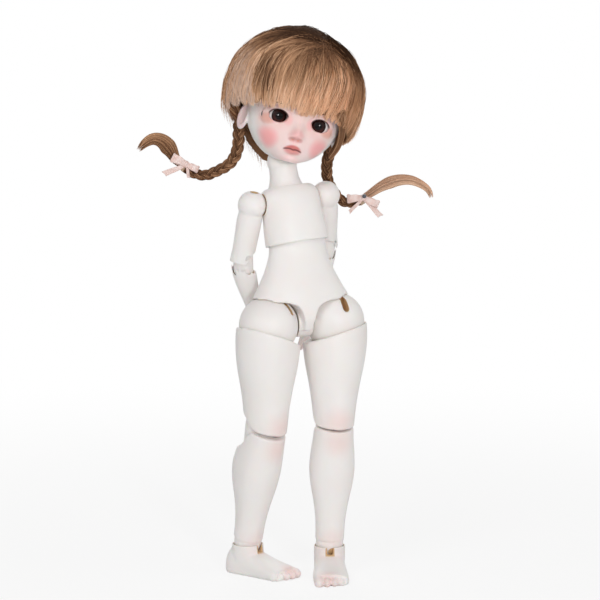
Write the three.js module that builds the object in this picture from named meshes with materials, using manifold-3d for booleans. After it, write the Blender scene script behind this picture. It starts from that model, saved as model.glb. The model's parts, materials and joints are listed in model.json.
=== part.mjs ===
// Ball jointed doll with a braided wig, standing with its hands behind its back.
// Millimetres, +Z up. The doll faces -Y and its left is +X. The origin is under the middle of its box.
// Each limb piece is shaped in its own frame: the joint above it is the origin and the limb hangs along -Z.

import * as THREE from 'three';
import { mergeVertices } from 'three/addons/utils/BufferGeometryUtils.js';
import Module from 'manifold-3d';

const wasm = await Module();
wasm.setup();

// Driving dimensions
const hip = { spacing: 35, ball: 14.5, gap: 0.75, rimHeight: 11, septum: 6.5, septumGap: 1.8 };
const knee = { ball: 8.3, gap: 0.55, half: 5, back: 2.5 };
const ankle = { ball: 6.8, gap: 0.5, height: 16 };
const waist = { height: 39.6, halfWidth: 14.4, depth: 9.8, gap: 1.1 };
const neck = { ball: 9, top: 7.4, gap: 0.45, back: 3, seat: 26, headJoint: 14.8 };
const shoulder = { x: 19.8, y: 1, z: 21.5, ball: 7, gap: 0.4 };
const elbow = { ball: 4.9, gap: 0.45, half: 3.5 };
const wrist = { ball: 3.5, gap: 0.5 };
const length = { thigh: 54, shin: 56, upperArm: 29.5, forearm: 31 };
const cord = { radius: 1.2, channel: 2.4, armChannel: 1.9, back: 4.6, armLow: 15.2 };
const ear = { x: 23.4, y: 1.5, z: 19 };
const eye = { x: 10.5, y: -13.6, z: 21, ball: 7, gap: 0.4, halfWidth: 4.7, halfHeight: 3.4 };
const braid = { rootRadius: 2.6, endRadius: 1.8, gap: 0.4, tailGap: 0.4 };
const tie = { inner: 2.3, outer: 3.1, half: 1.2 };
const bow = { forward: 4.9, knot: 1.7, loop: 1.1, ribbon: 0.45, bead: 1.1 };

// The photographed pose, in degrees: yaw turns about Z, roll about Y and pitch about X
const pose = {
  pelvis: { height: 125.36, roll: -1.335, pitch: -5.9 },
  waist: { yaw: 1.9, roll: -4.9, pitch: -4.6 },
  neck: { yaw: -0.3, roll: -0.3, pitch: 5.3 },
  head: { yaw: -12.5, roll: 21.9, pitch: 4.2 },
  left: {
    hip: { yaw: -6.6, roll: 4.2, pitch: -0.2 }, slotYaw: 6, kneeTop: 3.1, kneeLow: 2.6, foot: -19.8,
    arm: { roll: -6, pitch: 34, twist: -60 }, elbow: 11.6, wrist: 0,
  },
  right: {
    hip: { yaw: 22.6, roll: -0.4, pitch: 7.6 }, slotYaw: 45, kneeTop: 6.8, kneeLow: 4.4, foot: 33.2,
    arm: { roll: 12.3, pitch: 23.8, twist: 103.8 }, elbow: 13.6, wrist: 0,
  },
};

const resin = new THREE.MeshStandardMaterial({ color: 0xf2ebe2, roughness: 0.55, metalness: 0 });
const hair = new THREE.MeshStandardMaterial({ color: 0x9c7c5c, roughness: 0.7, metalness: 0 });
const satin = new THREE.MeshStandardMaterial({ color: 0xe9c8bd, roughness: 0.4, metalness: 0 });
const glass = new THREE.MeshStandardMaterial({ color: 0x2a1712, roughness: 0.05, metalness: 0 });
const steel = new THREE.MeshStandardMaterial({ color: 0xa8a8aa, roughness: 0.3, metalness: 1 });
const elastic = new THREE.MeshStandardMaterial({ color: 0xd9b98c, roughness: 0.8, metalness: 0 });
const capCloth = new THREE.MeshStandardMaterial({ color: 0x6b5644, roughness: 0.9, metalness: 0 });

const radians = THREE.MathUtils.degToRad;

// Solids and meshes

function solid(geometry) {
  const bare = geometry.clone();
  bare.deleteAttribute('normal');
  bare.deleteAttribute('uv');
  const merged = mergeVertices(bare, 1e-4);
  return new wasm.Manifold(new wasm.Mesh({
    numProp: 3,
    vertProperties: new Float32Array(merged.attributes.position.array),
    triVerts: new Uint32Array(merged.index.array),
  }));
}

function geometryOf(body) {
  const mesh = body.getMesh();
  const geometry = new THREE.BufferGeometry();
  geometry.setAttribute('position', new THREE.BufferAttribute(new Float32Array(mesh.vertProperties), 3));
  geometry.setIndex(new THREE.BufferAttribute(new Uint32Array(mesh.triVerts), 1));
  geometry.computeVertexNormals();
  return geometry;
}

function addMesh(parent, name, body, material, position = [0, 0, 0]) {
  const mesh = new THREE.Mesh(geometryOf(body), material);
  mesh.name = name;
  mesh.position.set(...position);
  parent.add(mesh);
  return mesh;
}

function ball(radius, centre = [0, 0, 0], scale = [1, 1, 1], around = 16, down = 8) {
  const geometry = new THREE.SphereGeometry(radius, around, down);
  geometry.rotateX(Math.PI / 2);
  geometry.scale(...scale);
  geometry.translate(...centre);
  return solid(geometry);
}

// A straight round bar between two points
function rod(radius, from, to, sides = 10) {
  const start = new THREE.Vector3(...from);
  const axis = new THREE.Vector3(...to).sub(start);
  const geometry = new THREE.CylinderGeometry(radius, radius, axis.length(), sides);
  geometry.translate(0, axis.length() / 2, 0);
  const up = new THREE.Vector3(0, 1, 0);
  geometry.applyQuaternion(new THREE.Quaternion().setFromUnitVectors(up, axis.clone().normalize()));
  geometry.translate(...from);
  return solid(geometry);
}

function block(low, high) {
  const geometry = new THREE.BoxGeometry(high[0] - low[0], high[1] - low[1], high[2] - low[2]);
  geometry.translate((low[0] + high[0]) / 2, (low[1] + high[1]) / 2, (low[2] + high[2]) / 2);
  return solid(geometry);
}

// An outline in (x, z), pushed through from y = near to y = far
function prismAlongY(points, near, far) {
  const outline = new THREE.Shape(points.map(([x, z]) => new THREE.Vector2(x, z)));
  const geometry = new THREE.ExtrudeGeometry(outline, { depth: far - near, bevelEnabled: false });
  geometry.rotateX(Math.PI / 2);
  geometry.translate(0, far, 0);
  return solid(geometry);
}

// An outline in (y, z), pushed through from x = near to x = far
function prismAlongX(points, near, far) {
  const outline = new THREE.Shape(points.map(([y, z]) => new THREE.Vector2(y, z)));
  const geometry = new THREE.ExtrudeGeometry(outline, { depth: far - near, bevelEnabled: false });
  geometry.rotateX(Math.PI / 2);
  geometry.rotateZ(Math.PI / 2);
  geometry.translate(near, 0, 0);
  return solid(geometry);
}

// A closed skin over rings of points, with a fan at each end
function skin(rings) {
  const sides = rings[0].length;
  const positions = rings.flat(2);
  const index = [];
  for (let i = 0; i + 1 < rings.length; i += 1) {
    for (let j = 0; j < sides; j += 1) {
      const a = i * sides + j;
      const b = i * sides + ((j + 1) % sides);
      index.push(a, b, a + sides, b, b + sides, a + sides);
    }
  }
  for (const ring of [0, rings.length - 1]) {
    const middle = [0, 1, 2].map((k) => rings[ring].reduce((sum, point) => sum + point[k], 0) / sides);
    positions.push(...middle);
    const centre = positions.length / 3 - 1;
    for (let j = 0; j < sides; j += 1) {
      const a = ring * sides + j;
      const b = ring * sides + ((j + 1) % sides);
      if (ring === 0) index.push(b, a, centre);
      else index.push(a, b, centre);
    }
  }
  const geometry = new THREE.BufferGeometry();
  geometry.setAttribute('position', new THREE.Float32BufferAttribute(positions, 3));
  geometry.setIndex(index);
  const body = solid(geometry);
  if (body.volume() > 0) return body;
  const flipped = index.slice();
  for (let i = 0; i < index.length; i += 3) [flipped[i + 1], flipped[i + 2]] = [index[i + 2], index[i + 1]];
  geometry.setIndex(flipped);
  return solid(geometry);
}

// A smooth curve through the stations, column by column
function smoothRow(rows, at) {
  const i = Math.min(Math.floor(at), rows.length - 2);
  const t = at - i;
  const before = rows[Math.max(i - 1, 0)];
  const after = rows[Math.min(i + 2, rows.length - 1)];
  return rows[i].map((b, k) => {
    const [a, c, d] = [before[k], rows[i + 1][k], after[k]];
    return b + 0.5 * t * (c - a + t * (2 * a - 5 * b + 4 * c - d + t * (3 * (b - c) + d - a)));
  });
}

// A body lofted over cross-sections. A station is [z, half width, front, back], and the two halves of each
// section, towards -Y and +Y, are superellipse arcs of their own depth. place moves each finished point.
function loft(stations, { perSpan = 1, sides = 16, power = 2, place = (x, y, z) => [x, y, z] } = {}) {
  const spans = (stations.length - 1) * perSpan;
  const rings = [];
  for (let i = 0; i <= spans; i += 1) {
    const [z, halfWidth, front, back] = smoothRow(stations, i / perSpan);
    const ring = [];
    for (let j = 0; j < sides; j += 1) {
      const angle = (2 * Math.PI * j) / sides;
      const c = Math.cos(angle);
      const s = Math.sin(angle);
      const x = Math.sign(c) * Math.abs(c) ** (2 / power) * halfWidth;
      const y = Math.sign(s) * Math.abs(s) ** (2 / power) * (s < 0 ? front : back);
      ring.push(place(x, y, z));
    }
    rings.push(ring);
  }
  return skin(rings);
}

// A round tube of changing radius along a smooth path; flat is its thickness over its width
function sweep(points, radius, { steps = 12, sides = 8, flat = 1 } = {}) {
  const path = new THREE.CatmullRomCurve3(points.map((p) => new THREE.Vector3(...p)));
  const frames = path.computeFrenetFrames(steps, false);
  const rings = [];
  for (let i = 0; i <= steps; i += 1) {
    const middle = path.getPointAt(i / steps);
    const r = radius(i / steps);
    const ring = [];
    for (let j = 0; j < sides; j += 1) {
      const angle = (2 * Math.PI * j) / sides;
      const point = middle.clone()
        .addScaledVector(frames.normals[i], r * flat * Math.cos(angle))
        .addScaledVector(frames.binormals[i], r * Math.sin(angle));
      ring.push(point.toArray());
    }
    rings.push(ring);
  }
  return skin(rings);
}

function union(...bodies) {
  return bodies.reduce((sum, body) => sum.add(body));
}

function group(parent, position, yaw = 0, roll = 0, pitch = 0) {
  const node = new THREE.Group();
  node.position.set(...position);
  node.rotation.set(radians(pitch), radians(roll), radians(yaw), 'ZYX');
  parent.add(node);
  return node;
}

// Torso

const doll = new THREE.Group();
const figure = group(doll, [0, 0, 0]);
const pelvis = group(figure, [0, 0, pose.pelvis.height], 0, pose.pelvis.roll, pose.pelvis.pitch);

function lowerTorso() {
  let body = loft([
    [-3.5, 21, 9, 10], [1, 26.4, 12, 12.6], [6, 27.2, 12.8, 13.2], [12, 25.2, 12.8, 13],
    [19, 21.2, 12.1, 12.2], [27, 17.2, 10.8, 10.8], [34, 14.8, 9.6, 9.6], [38, 14.4, 9.4, 9.4],
  ], { sides: 16, power: 2.2 });
  body = body.add(ball(1, [0, 0, waist.height], [waist.halfWidth, waist.depth, waist.depth], 16, 8));
  for (const side of [1, -1]) {
    const legLine = [[2.2, 0], [4.6, 7.2], [9.6, 10.2], [17.5, hip.rimHeight], [36, hip.rimHeight + 0.5],
      [36, -20], [2.2, -20]].map(([x, z]) => [side * x, z]);
    body = body.subtract(prismAlongY(side > 0 ? legLine : legLine.reverse(), -30, 0.5));
    body = body.subtract(block([Math.min(side * 2.2, side * 40), 0.4, -20], [Math.max(side * 2.2, side * 40), 30, 1.5]));
  }
  body = body.add(rod(hip.septum, [-11, 0, 0], [11, 0, 0], 16));
  for (const side of [1, -1]) {
    const centre = [side * hip.spacing / 2, 0, 0];
    body = body.subtract(ball(hip.ball + hip.gap, centre));
    body = body.subtract(rod(cord.channel, centre, [0, cord.back, 20], 6));
  }
  return body.subtract(rod(cord.channel, [0, cord.back, 17], [0, cord.back, 60], 6));
}

addMesh(pelvis, 'lower_torso', lowerTorso(), resin);
addMesh(pelvis, 'cord_torso', rod(cord.radius, [0, cord.back, 20.5], [0, cord.back, 47.5], 6), elastic);

const chest = group(pelvis, [0, 0, waist.height], pose.waist.yaw, pose.waist.roll, pose.waist.pitch);

function chestShell() {
  let body = loft([
    [0, 16.1, 11.6, 11.6], [7, 15.7, 11.8, 11.8], [14, 15, 11.6, 12], [20, 15.2, 11, 12.6],
    [24, 14.8, 10, 13.5], [26.6, 13.4, 8.6, 13.7], [28.2, 11.2, 7.2, 13],
  ], { sides: 16, power: 2.2 });
  const hollowScale = [waist.halfWidth + waist.gap, waist.depth + waist.gap, waist.depth + waist.gap];
  body = body.subtract(ball(1, [0, 0, 0], hollowScale, 16, 8));
  body = body.subtract(ball(neck.ball + neck.gap, [0, neck.back, neck.seat]));
  for (const side of [1, -1]) {
    body = body.subtract(ball(shoulder.ball + shoulder.gap, [side * shoulder.x, shoulder.y, shoulder.z]));
  }
  body = body.subtract(rod(cord.channel, [0, cord.back, 5], [0, cord.back, 24], 6));
  for (const side of [1, -1]) {
    body = body.subtract(rod(cord.armChannel, [-side * 1.5, 0, cord.armLow - 0.5], [side * 19, 1.4, 22.2], 6));
  }
  return body;
}

addMesh(chest, 'chest', chestShell(), resin);
addMesh(chest, 'cord_chest', rod(cord.radius, [0, cord.back, 9.4], [0, cord.back, 15.6], 6), elastic);
// The arm cord dips under the neck's ball
const armCord = [[-11.8, 1, 19.7], [-6, 0.5, 17.2], [0, 0, cord.armLow], [6, 0.5, 17.2], [11.8, 1, 19.7]];
addMesh(chest, 'cord_arms', sweep(armCord, () => cord.radius, { steps: 6, sides: 6 }), elastic);

// Neck and head

const neckJoint = group(chest, [0, neck.back, neck.seat], pose.neck.yaw, pose.neck.roll, pose.neck.pitch);

function neckPiece() {
  const column = loft([[1, 8.2, 8.2, 8.2], [4.5, 7.8, 7.8, 7.8], [8, 7.1, 7.1, 7.1], [14.8, 6.7, 6.7, 6.7]], { sides: 14 });
  const body = union(ball(neck.ball, [0, 0, 0], [1, 1, 1], 14, 8), column, ball(neck.top, [0, 0, neck.headJoint], [1, 1, 1], 14, 8));
  return body.subtract(rod(cord.channel, [0, 0, -12], [0, 0, 26], 6));
}

addMesh(neckJoint, 'neck', neckPiece(), resin);
addMesh(neckJoint, 'cord_neck', rod(cord.radius, [0, 0, -8], [0, 0, 21.5], 6), elastic);

const head = group(neckJoint, [0, 0, neck.headJoint], pose.head.yaw, pose.head.roll, pose.head.pitch);

// Head sections, from the underside of the chin to the crown
const headStations = [
  [-1, 6, 20.4, 6], [1.5, 11, 22.2, 11], [5, 15.3, 23, 15.5], [9, 18.4, 23.4, 19.5], [14, 21.2, 23.8, 22.3],
  [20, 23.1, 23.7, 24.2], [29, 24.4, 24.6, 25.8], [39, 24.3, 24.5, 25.9], [47.5, 21.6, 22, 23.2],
  [54, 16.2, 16.8, 17.6], [58, 10, 10.5, 11], [60, 3, 3, 3],
];

// The same sections grown by a distance, from the lowest height that is kept
function grownHead(by, lowest) {
  return headStations.filter(([z]) => z >= lowest).map(([z, halfWidth, front, back]) => {
    const rise = z > 32 ? by * (z - 32) / 28 : 0;
    return [z + rise, halfWidth + by, front + by, back + by];
  });
}

// The cap meets the face shell on a plane that drops towards the back
function aboveCapSeam(raise) {
  return prismAlongX([[-60, 45.5 + raise], [60, 33.5 + raise], [60, 120], [-60, 120]], -60, 60);
}

const headSides = 16;

function headShell() {
  let body = loft(headStations, { sides: headSides });
  body = body.add(ball(1, [0, -22.6, 13], [2.3, 4.4, 2.6], 8, 5));
  body = body.add(ball(1, [0, -21.6, 6.6], [4.2, 3.4, 1.9], 8, 5));
  for (const side of [1, -1]) body = body.add(ball(1, [side * ear.x, ear.y, ear.z], [1.9, 4, 5.6], 8, 6));
  body = body.subtract(loft(grownHead(-2.6, 9), { sides: 12 }));
  for (const side of [1, -1]) {
    const centre = [side * eye.x, eye.y, eye.z];
    body = body.subtract(ball(eye.ball + eye.gap, centre, [1, 1, 1], 14, 8));
    const opening = new THREE.CylinderGeometry(1, 1, 20, 12);
    opening.scale(eye.halfWidth, 1, eye.halfHeight);
    opening.translate(centre[0], -20, centre[2]);
    body = body.subtract(solid(opening));
  }
  body = body.subtract(prismAlongX([[-60, -40], [60, -40], [60, 12], [8, 3], [-6, 0.6], [-15, -1]], -60, 60));
  body = body.subtract(ball(neck.top + neck.gap));
  body = body.subtract(rod(cord.channel, [0, 0, 0], [0, 0, 14], 10));
  return body.subtract(aboveCapSeam(0));
}

function headCap() {
  const shell = loft(headStations, { sides: headSides }).subtract(loft(grownHead(-2.6, 9), { sides: 12 }));
  return shell.intersect(aboveCapSeam(0.3));
}

addMesh(head, 'head_shell', headShell(), resin);
addMesh(head, 'head_cap', headCap(), resin);
for (const [name, side] of [['left', 1], ['right', -1]]) {
  addMesh(head, `eye_${name}`, ball(eye.ball, [side * eye.x, eye.y, eye.z], [1, 1, 1], 12, 8), glass);
}
addMesh(head, 'head_magnet', rod(2.5, [0, 20.4, 33.2], [0, 20.4, 35.2], 10), steel);
addMesh(head, 'cap_magnet', rod(2.5, [0, 20.2, 38.2], [0, 20.2, 40.2], 10), steel);

// The neck hook: a steel wire bent like an S, standing in the head over the neck's channel
const hookPath = [[0, -2.6, 13.4], [0, -1.2, 11], [0, 1.6, 12], [0, 1.6, 15], [0, -1.6, 18], [0, -1.4, 21.4], [0, 1.6, 22.4], [0, 2.8, 20]];
addMesh(head, 'head_hook', sweep(hookPath, () => 0.8, { steps: 14, sides: 5 }), steel);

// Wig

function wigCap() {
  const outside = loft(grownHead(1.3, 14), { sides: headSides });
  const shell = outside.subtract(loft(grownHead(0.35, 9), { sides: headSides }));
  return shell.subtract(prismAlongX([[-60, 45], [60, 5], [60, -60], [-60, -60]], -60, 60));
}

// Where the braids leave the hair, and the way that they and the loose ends below their ties take
const braidRoutes = {
  left: [[27, 10, 23.5], [26, 12, 17.5], [25, 15.5, 11.5], [25.5, 20, 5], [28.5, 23, -3], [33.5, 23, -8.5],
    [38, 22, -11.5], [42.5, 20, -11.5], [46.5, 18.5, -9]],
  right: [[-23.5, 14.5, 14.5], [-22.5, 13, 8.5], [-21.5, 12, 2.5], [-21.5, 13, -3], [-23.5, 14, -8],
    [-28, 15.5, -12.5], [-33, 17, -16], [-39, 18, -16.5], [-44, 19, -14.5]],
};
const tailRoutes = {
  left: [[50, 17.5, -5], [55, 16.5, 0.5], [61, 14.5, 5], [67, 12.5, 7], [72.5, 10.5, 6.5], [77, 8.5, 4.5],
    [79.5, 8, 1]],
  right: [[-49, 20.5, -12], [-53, 21, -8], [-57.5, 22, -5], [-62, 23, -5], [-65.5, 23.5, -8], [-68, 23.5, -12.5]],
};
const tailWidest = { left: 3.2, right: 4.2 };

const hairStations = [
  [-2, 14, 10, 15], [3, 21, 12, 21], [9, 27, 14, 26], [15, 32, 21, 30.8], [22, 35, 26, 33.4],
  [32, 36.4, 30, 34.4], [43, 35, 30.6, 33.4], [52, 30.2, 27.4, 29.4], [60, 21.6, 20.4, 21.6], [65.6, 8, 8, 8],
];

function wigHair() {
  let body = loft(hairStations, { sides: headSides });
  body = body.subtract(loft(grownHead(1.75, -2), { sides: headSides }));
  body = body.subtract(block([-19.5, -60, -20], [19.5, 0, 26]));
  body = body.subtract(block([-60, -60, -20], [60, -9, 20]));
  body = body.subtract(block([-60, -60, -20], [60, 5, 9]));
  body = body.subtract(rod(11, [0, 0, -10], [0, 0, 8], 16));
  for (const [name, side] of [['left', 1], ['right', -1]]) {
    body = body.subtract(ball(1, [side * ear.x, ear.y, ear.z], [3.6, 5.4, 7.2], 8, 6));
    const clear = braid.rootRadius + braid.gap;
    body = body.subtract(sweep(braidRoutes[name].slice(0, 5), () => clear, { steps: 5, sides: 7 }));
    const root = braidRoutes[name][0];
    body = body.subtract(ball(clear + 0.3, root, [1, 1, 1], 8, 6));
  }
  return body;
}

addMesh(head, 'wig_cap', wigCap(), capCloth);
addMesh(head, 'wig_hair', wigHair(), hair);

// Braids, their ties and the satin bows

function braidEnd(name) {
  const end = new THREE.Vector3(...braidRoutes[name].at(-1));
  const along = new THREE.Vector3(...tailRoutes[name][0]).sub(end).normalize();
  return { end, along };
}

function braidRope(name) {
  const radius = (t) => braid.rootRadius + (braid.endRadius - braid.rootRadius) * t;
  return sweep(braidRoutes[name], radius, { steps: 13, sides: 7 });
}

function looseTail(name) {
  const { end, along } = braidEnd(name);
  const start = end.addScaledVector(along, braid.tailGap).toArray();
  const widest = tailWidest[name];
  const radius = (t) => (t < 0.4 ? 1.7 + (widest - 1.7) * (t / 0.4) ** 1.5 : 0.5 + (widest - 0.5) * ((1 - t) / 0.6) ** 0.7);
  return sweep([start, ...tailRoutes[name]], radius, { steps: 9, sides: 8, flat: 0.5 });
}

// A rounded band about the braid's end: a torus drawn out along its axis
function tieRing(name) {
  const { end, along } = braidEnd(name);
  const middle = (tie.outer + tie.inner) / 2;
  const thickness = (tie.outer - tie.inner) / 2;
  const geometry = new THREE.TorusGeometry(middle, thickness, 6, 12);
  geometry.scale(1, 1, tie.half / thickness);
  const axis = new THREE.Vector3(0, 0, 1);
  geometry.applyQuaternion(new THREE.Quaternion().setFromUnitVectors(axis, along));
  geometry.translate(...end.toArray());
  return solid(geometry);
}

// A flat strip from the knot to a tip in (x, z), wider at the tip
function strip([x, z], near, far, thickness) {
  const reach = Math.hypot(x, z);
  const [across, up] = [-z / reach, x / reach];
  const corners = [[across * near, up * near], [-across * near, -up * near],
    [x - across * far, z - up * far], [x + across * far, z + up * far]];
  return prismAlongY(corners, -thickness, thickness);
}

const bowTips = {
  left: { loops: [[-7, -3], [8.6, -1.2]], ribbons: [[11.6, -6.6], [-4.6, -8.8]] },
  right: { loops: [[-7.6, 0.6], [6, -1]], ribbons: [[-9, -7.6]] },
};

function bowShape(name) {
  let body = ball(bow.knot, [0, 0, 0], [1, 0.8, 1], 8, 4);
  for (const tip of bowTips[name].loops) body = body.add(strip(tip, 0.9, 2.3, bow.loop));
  for (const tip of bowTips[name].ribbons) body = body.add(strip(tip, 0.7, 1.4, bow.ribbon));
  return body;
}

for (const name of ['left', 'right']) {
  addMesh(head, `braid_${name}`, braidRope(name), hair);
  addMesh(head, `hair_tail_${name}`, looseTail(name), hair);
  addMesh(head, `hair_tie_${name}`, tieRing(name), elastic);
  const [x, y, z] = braidRoutes[name].at(-1);
  addMesh(head, `bow_${name}`, bowShape(name), satin, [x, y - bow.forward, z + 1.5]);
}
const [knotX, knotY, knotZ] = braidRoutes.left.at(-1);
const beadSpot = [knotX, knotY - bow.forward - bow.knot - bow.bead, knotZ + 2.5];
addMesh(head, 'bow_bead', ball(bow.bead, beadSpot, [1, 1, 1], 8, 6), glass);

// Arms and legs, mirrored by side: +1 is the doll's left

function cutBelow(points) {
  const [first, last] = [points[0], points[points.length - 1]];
  return prismAlongX([...points, [last[0], -90], [first[0], -90]].reverse(), -30, 30);
}

function cutAbove(points) {
  const [first, last] = [points[0], points[points.length - 1]];
  return prismAlongX([...points, [last[0], 90], [first[0], 90]], -30, 30);
}

const elbowLine = [[-20, 7], [-4.6, 6.4], [0, 1.5], [2, 0.25], [20, 0.25]];

function upperArm() {
  let body = loft([
    [-2, 5.4, 5.6, 5.6], [-8, 6, 6.2, 6.2], [-15, 5.8, 6, 6], [-23, 5.6, 5.8, 5.8], [-31, 6.2, 6.2, 6.2],
  ], { sides: 12 });
  body = body.add(ball(shoulder.ball, [0, 0, 0], [1, 1, 1], 14, 8));
  body = body.subtract(cutBelow(elbowLine.map(([y, z]) => [y, z - length.upperArm])));
  const top = elbow.half - length.upperArm;
  body = body.subtract(ball(elbow.ball + elbow.gap, [0, 0, top], [1, 1, 1], 12, 8));
  body = body.subtract(rod(elbow.ball + elbow.gap, [0, 0, top], [0, 0, top - 12], 12));
  return body.subtract(rod(cord.armChannel, [0, 0, 9], [0, 0, -30], 6));
}

function capsule(radius, half, sides, channel) {
  const profile = [];
  const turns = 3;
  for (let i = 0; i <= turns; i += 1) {
    const angle = -Math.PI / 2 + (i / turns) * (Math.PI / 2);
    profile.push(new THREE.Vector2(radius * Math.cos(angle), radius * Math.sin(angle) - 2 * half));
  }
  for (let i = 0; i <= turns; i += 1) {
    const angle = (i / turns) * (Math.PI / 2);
    profile.push(new THREE.Vector2(radius * Math.cos(angle), radius * Math.sin(angle)));
  }
  profile[0].x = 0;
  profile[profile.length - 1].x = 0;
  const geometry = new THREE.LatheGeometry(profile, sides);
  geometry.rotateX(Math.PI / 2);
  return solid(geometry).subtract(rod(channel, [0, 0, radius + 2], [0, 0, -2 * half - radius - 2], 6));
}

function forearm() {
  let body = loft([
    [2, 5.4, 5.5, 5.5], [-6, 5.7, 5.7, 5.8], [-13, 5.2, 5.2, 5.3], [-21, 4.3, 4.3, 4.3], [-28.6, 3.6, 3.6, 3.6],
  ], { sides: 12 });
  body = body.subtract(cutAbove(elbowLine.map(([y, z]) => [y, -z])));
  body = body.subtract(ball(elbow.ball + elbow.gap, [0, 0, -elbow.half], [1, 1, 1], 12, 8));
  body = body.subtract(rod(elbow.ball + elbow.gap, [0, 0, -elbow.half], [0, 0, 9], 12));
  body = body.add(ball(wrist.ball, [0, 0, -length.forearm], [1, 1, 1], 12, 6));
  return body.subtract(rod(1.6, [0, 0, -2], [0, 0, -length.forearm - 6], 6));
}

// The palm faces the thigh, so the hand is thin along X; its thumb points to the front
const fingers = [
  { y: -3.7, radius: 1.3, reach: 9.5 }, { y: -1.3, radius: 1.35, reach: 10.8 },
  { y: 1.2, radius: 1.3, reach: 10.2 }, { y: 3.5, radius: 1.15, reach: 8.6 },
];

function hand(side) {
  let body = loft([
    [-0.7, 4.3, 4.4, 4.4], [-3.4, 3.7, 4.4, 4.4], [-6.5, 3, 4.9, 4.9], [-10, 2.6, 5.2, 5.2], [-13.4, 2.2, 4.9, 4.9],
  ], { sides: 12 });
  const inward = -side;
  for (const { y, radius, reach } of fingers) {
    const path = [[0, y, -11], [inward * 0.3, y, -13 - reach * 0.4], [inward * 1.5, y * 0.96, -13 - reach]];
    body = body.add(sweep(path, (t) => radius * (t > 0.9 ? 0.75 : 1 - 0.12 * t), { steps: 3, sides: 5 }));
  }
  const thumb = [[inward * 0.6, -3.4, -5], [inward * 1.4, -6, -9], [inward * 1.8, -7, -13]];
  body = body.add(sweep(thumb, (t) => 1.6 - 0.35 * t, { steps: 3, sides: 5 }));
  body = body.subtract(ball(wrist.ball + wrist.gap, [0, 0, 0], [1, 1, 1], 12, 6));
  return body.subtract(rod(1.3, [0, 0, 0], [0, 0, -7.6], 6));
}

// A wire hook standing in its socket below the joint
function limbHook(top, bottom, radius) {
  const path = [[-0.1, 0, top], [0.5, 0, top - 0.6], [0.4, 0, (top + bottom) / 2], [-0.4, 0, bottom + 0.6], [-0.1, 0, bottom]];
  return sweep(path, () => radius, { steps: 6, sides: 5 });
}

for (const [name, side] of [['left', 1], ['right', -1]]) {
  const angles = pose[name];
  const arm = group(chest, [side * shoulder.x, shoulder.y, shoulder.z]);
  arm.rotation.set(radians(angles.arm.pitch), radians(angles.arm.roll), radians(angles.arm.twist), 'YXZ');
  addMesh(arm, `upper_arm_${name}`, upperArm(), resin);
  addMesh(arm, `cord_upper_arm_${name}`, rod(cord.radius, [0, 0, -1], [0, 0, -20.6], 6), elastic);
  const elbowTop = group(arm, [0, 0, elbow.half - length.upperArm], 0, 0, -angles.elbow);
  addMesh(elbowTop, `elbow_joint_${name}`, capsule(elbow.ball, elbow.half, 12, cord.armChannel), resin);
  const elbowLow = group(elbowTop, [0, 0, -2 * elbow.half], 0, 0, -angles.elbow);
  addMesh(elbowLow, `forearm_${name}`, forearm(), resin, [0, 0, elbow.half]);
  addMesh(elbowLow, `cord_forearm_${name}`, rod(0.9, [0, 0, -6], [0, 0, elbow.half - length.forearm - 2.4], 6), elastic);
  const handJoint = group(elbowLow, [0, 0, elbow.half - length.forearm], 0, angles.wrist, 0);
  addMesh(handJoint, `hand_${name}`, hand(side), resin);
  addMesh(handJoint, `wrist_hook_${name}`, limbHook(-4, -7.2, 0.45), steel);
}

// Legs

function hipBall(yaw) {
  let body = ball(hip.ball);
  const slot = new THREE.Shape();
  slot.absarc(0, 10.6, 1.6, 0, Math.PI);
  slot.absarc(0, 6, 1.6, Math.PI, 2 * Math.PI);
  const cutter = new THREE.ExtrudeGeometry(slot, { depth: 12, bevelEnabled: false, curveSegments: 4 });
  cutter.rotateX(Math.PI / 2);
  cutter.translate(0, -5, 0);
  cutter.rotateZ(radians(yaw));
  body = body.subtract(solid(cutter));
  return body.subtract(rod(cord.channel, [0, 0, 18], [0, 0, -18], 6));
}

const kneeThighLine = [[-20, -1.2], [-4, 2.3], [0, 4.4], [5, 9.2], [11, 12], [20, 13]];
const kneeShinLine = [[-20, -1.8], [-3, 1.8], [2, 1.4], [7, -6], [11, -9], [20, -10]];

function thigh(side) {
  let body = loft([
    [4, 15.2, 15.2, 15.2], [-4, 15.9, 15.8, 15.9], [-12, 15.8, 15.6, 15.9], [-21, 14.6, 14.7, 15.1],
    [-31, 12.6, 13, 13.3], [-40, 11.1, 11.9, 12.1], [-49, 10.1, 11.3, 11.9], [-57, 9.7, 10.4, 12],
  ], { sides: 16 });
  const rim = [[-20, -12.6], [20, 1.7], [20, 40], [-20, 40]].map(([x, z]) => [side * x, z]);
  body = body.subtract(prismAlongY(side > 0 ? rim : rim.reverse(), -30, 30));
  body = body.subtract(ball(hip.ball + hip.gap));
  body = body.subtract(rod(hip.septum + hip.septumGap, [0, 0, 0], [-side * 20, 0, 0], 14));
  const top = knee.half - length.thigh;
  body = body.subtract(cutBelow(kneeThighLine.map(([y, z]) => [y, z - length.thigh])));
  body = body.subtract(ball(knee.ball + knee.gap, [0, knee.back, top], [1, 1, 1], 14, 8));
  body = body.subtract(rod(knee.ball + knee.gap, [0, knee.back, top], [0, knee.back, top - 16], 14));
  return body.subtract(rod(cord.channel, [0, 0, 0], [0, knee.back, top], 6));
}

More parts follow.
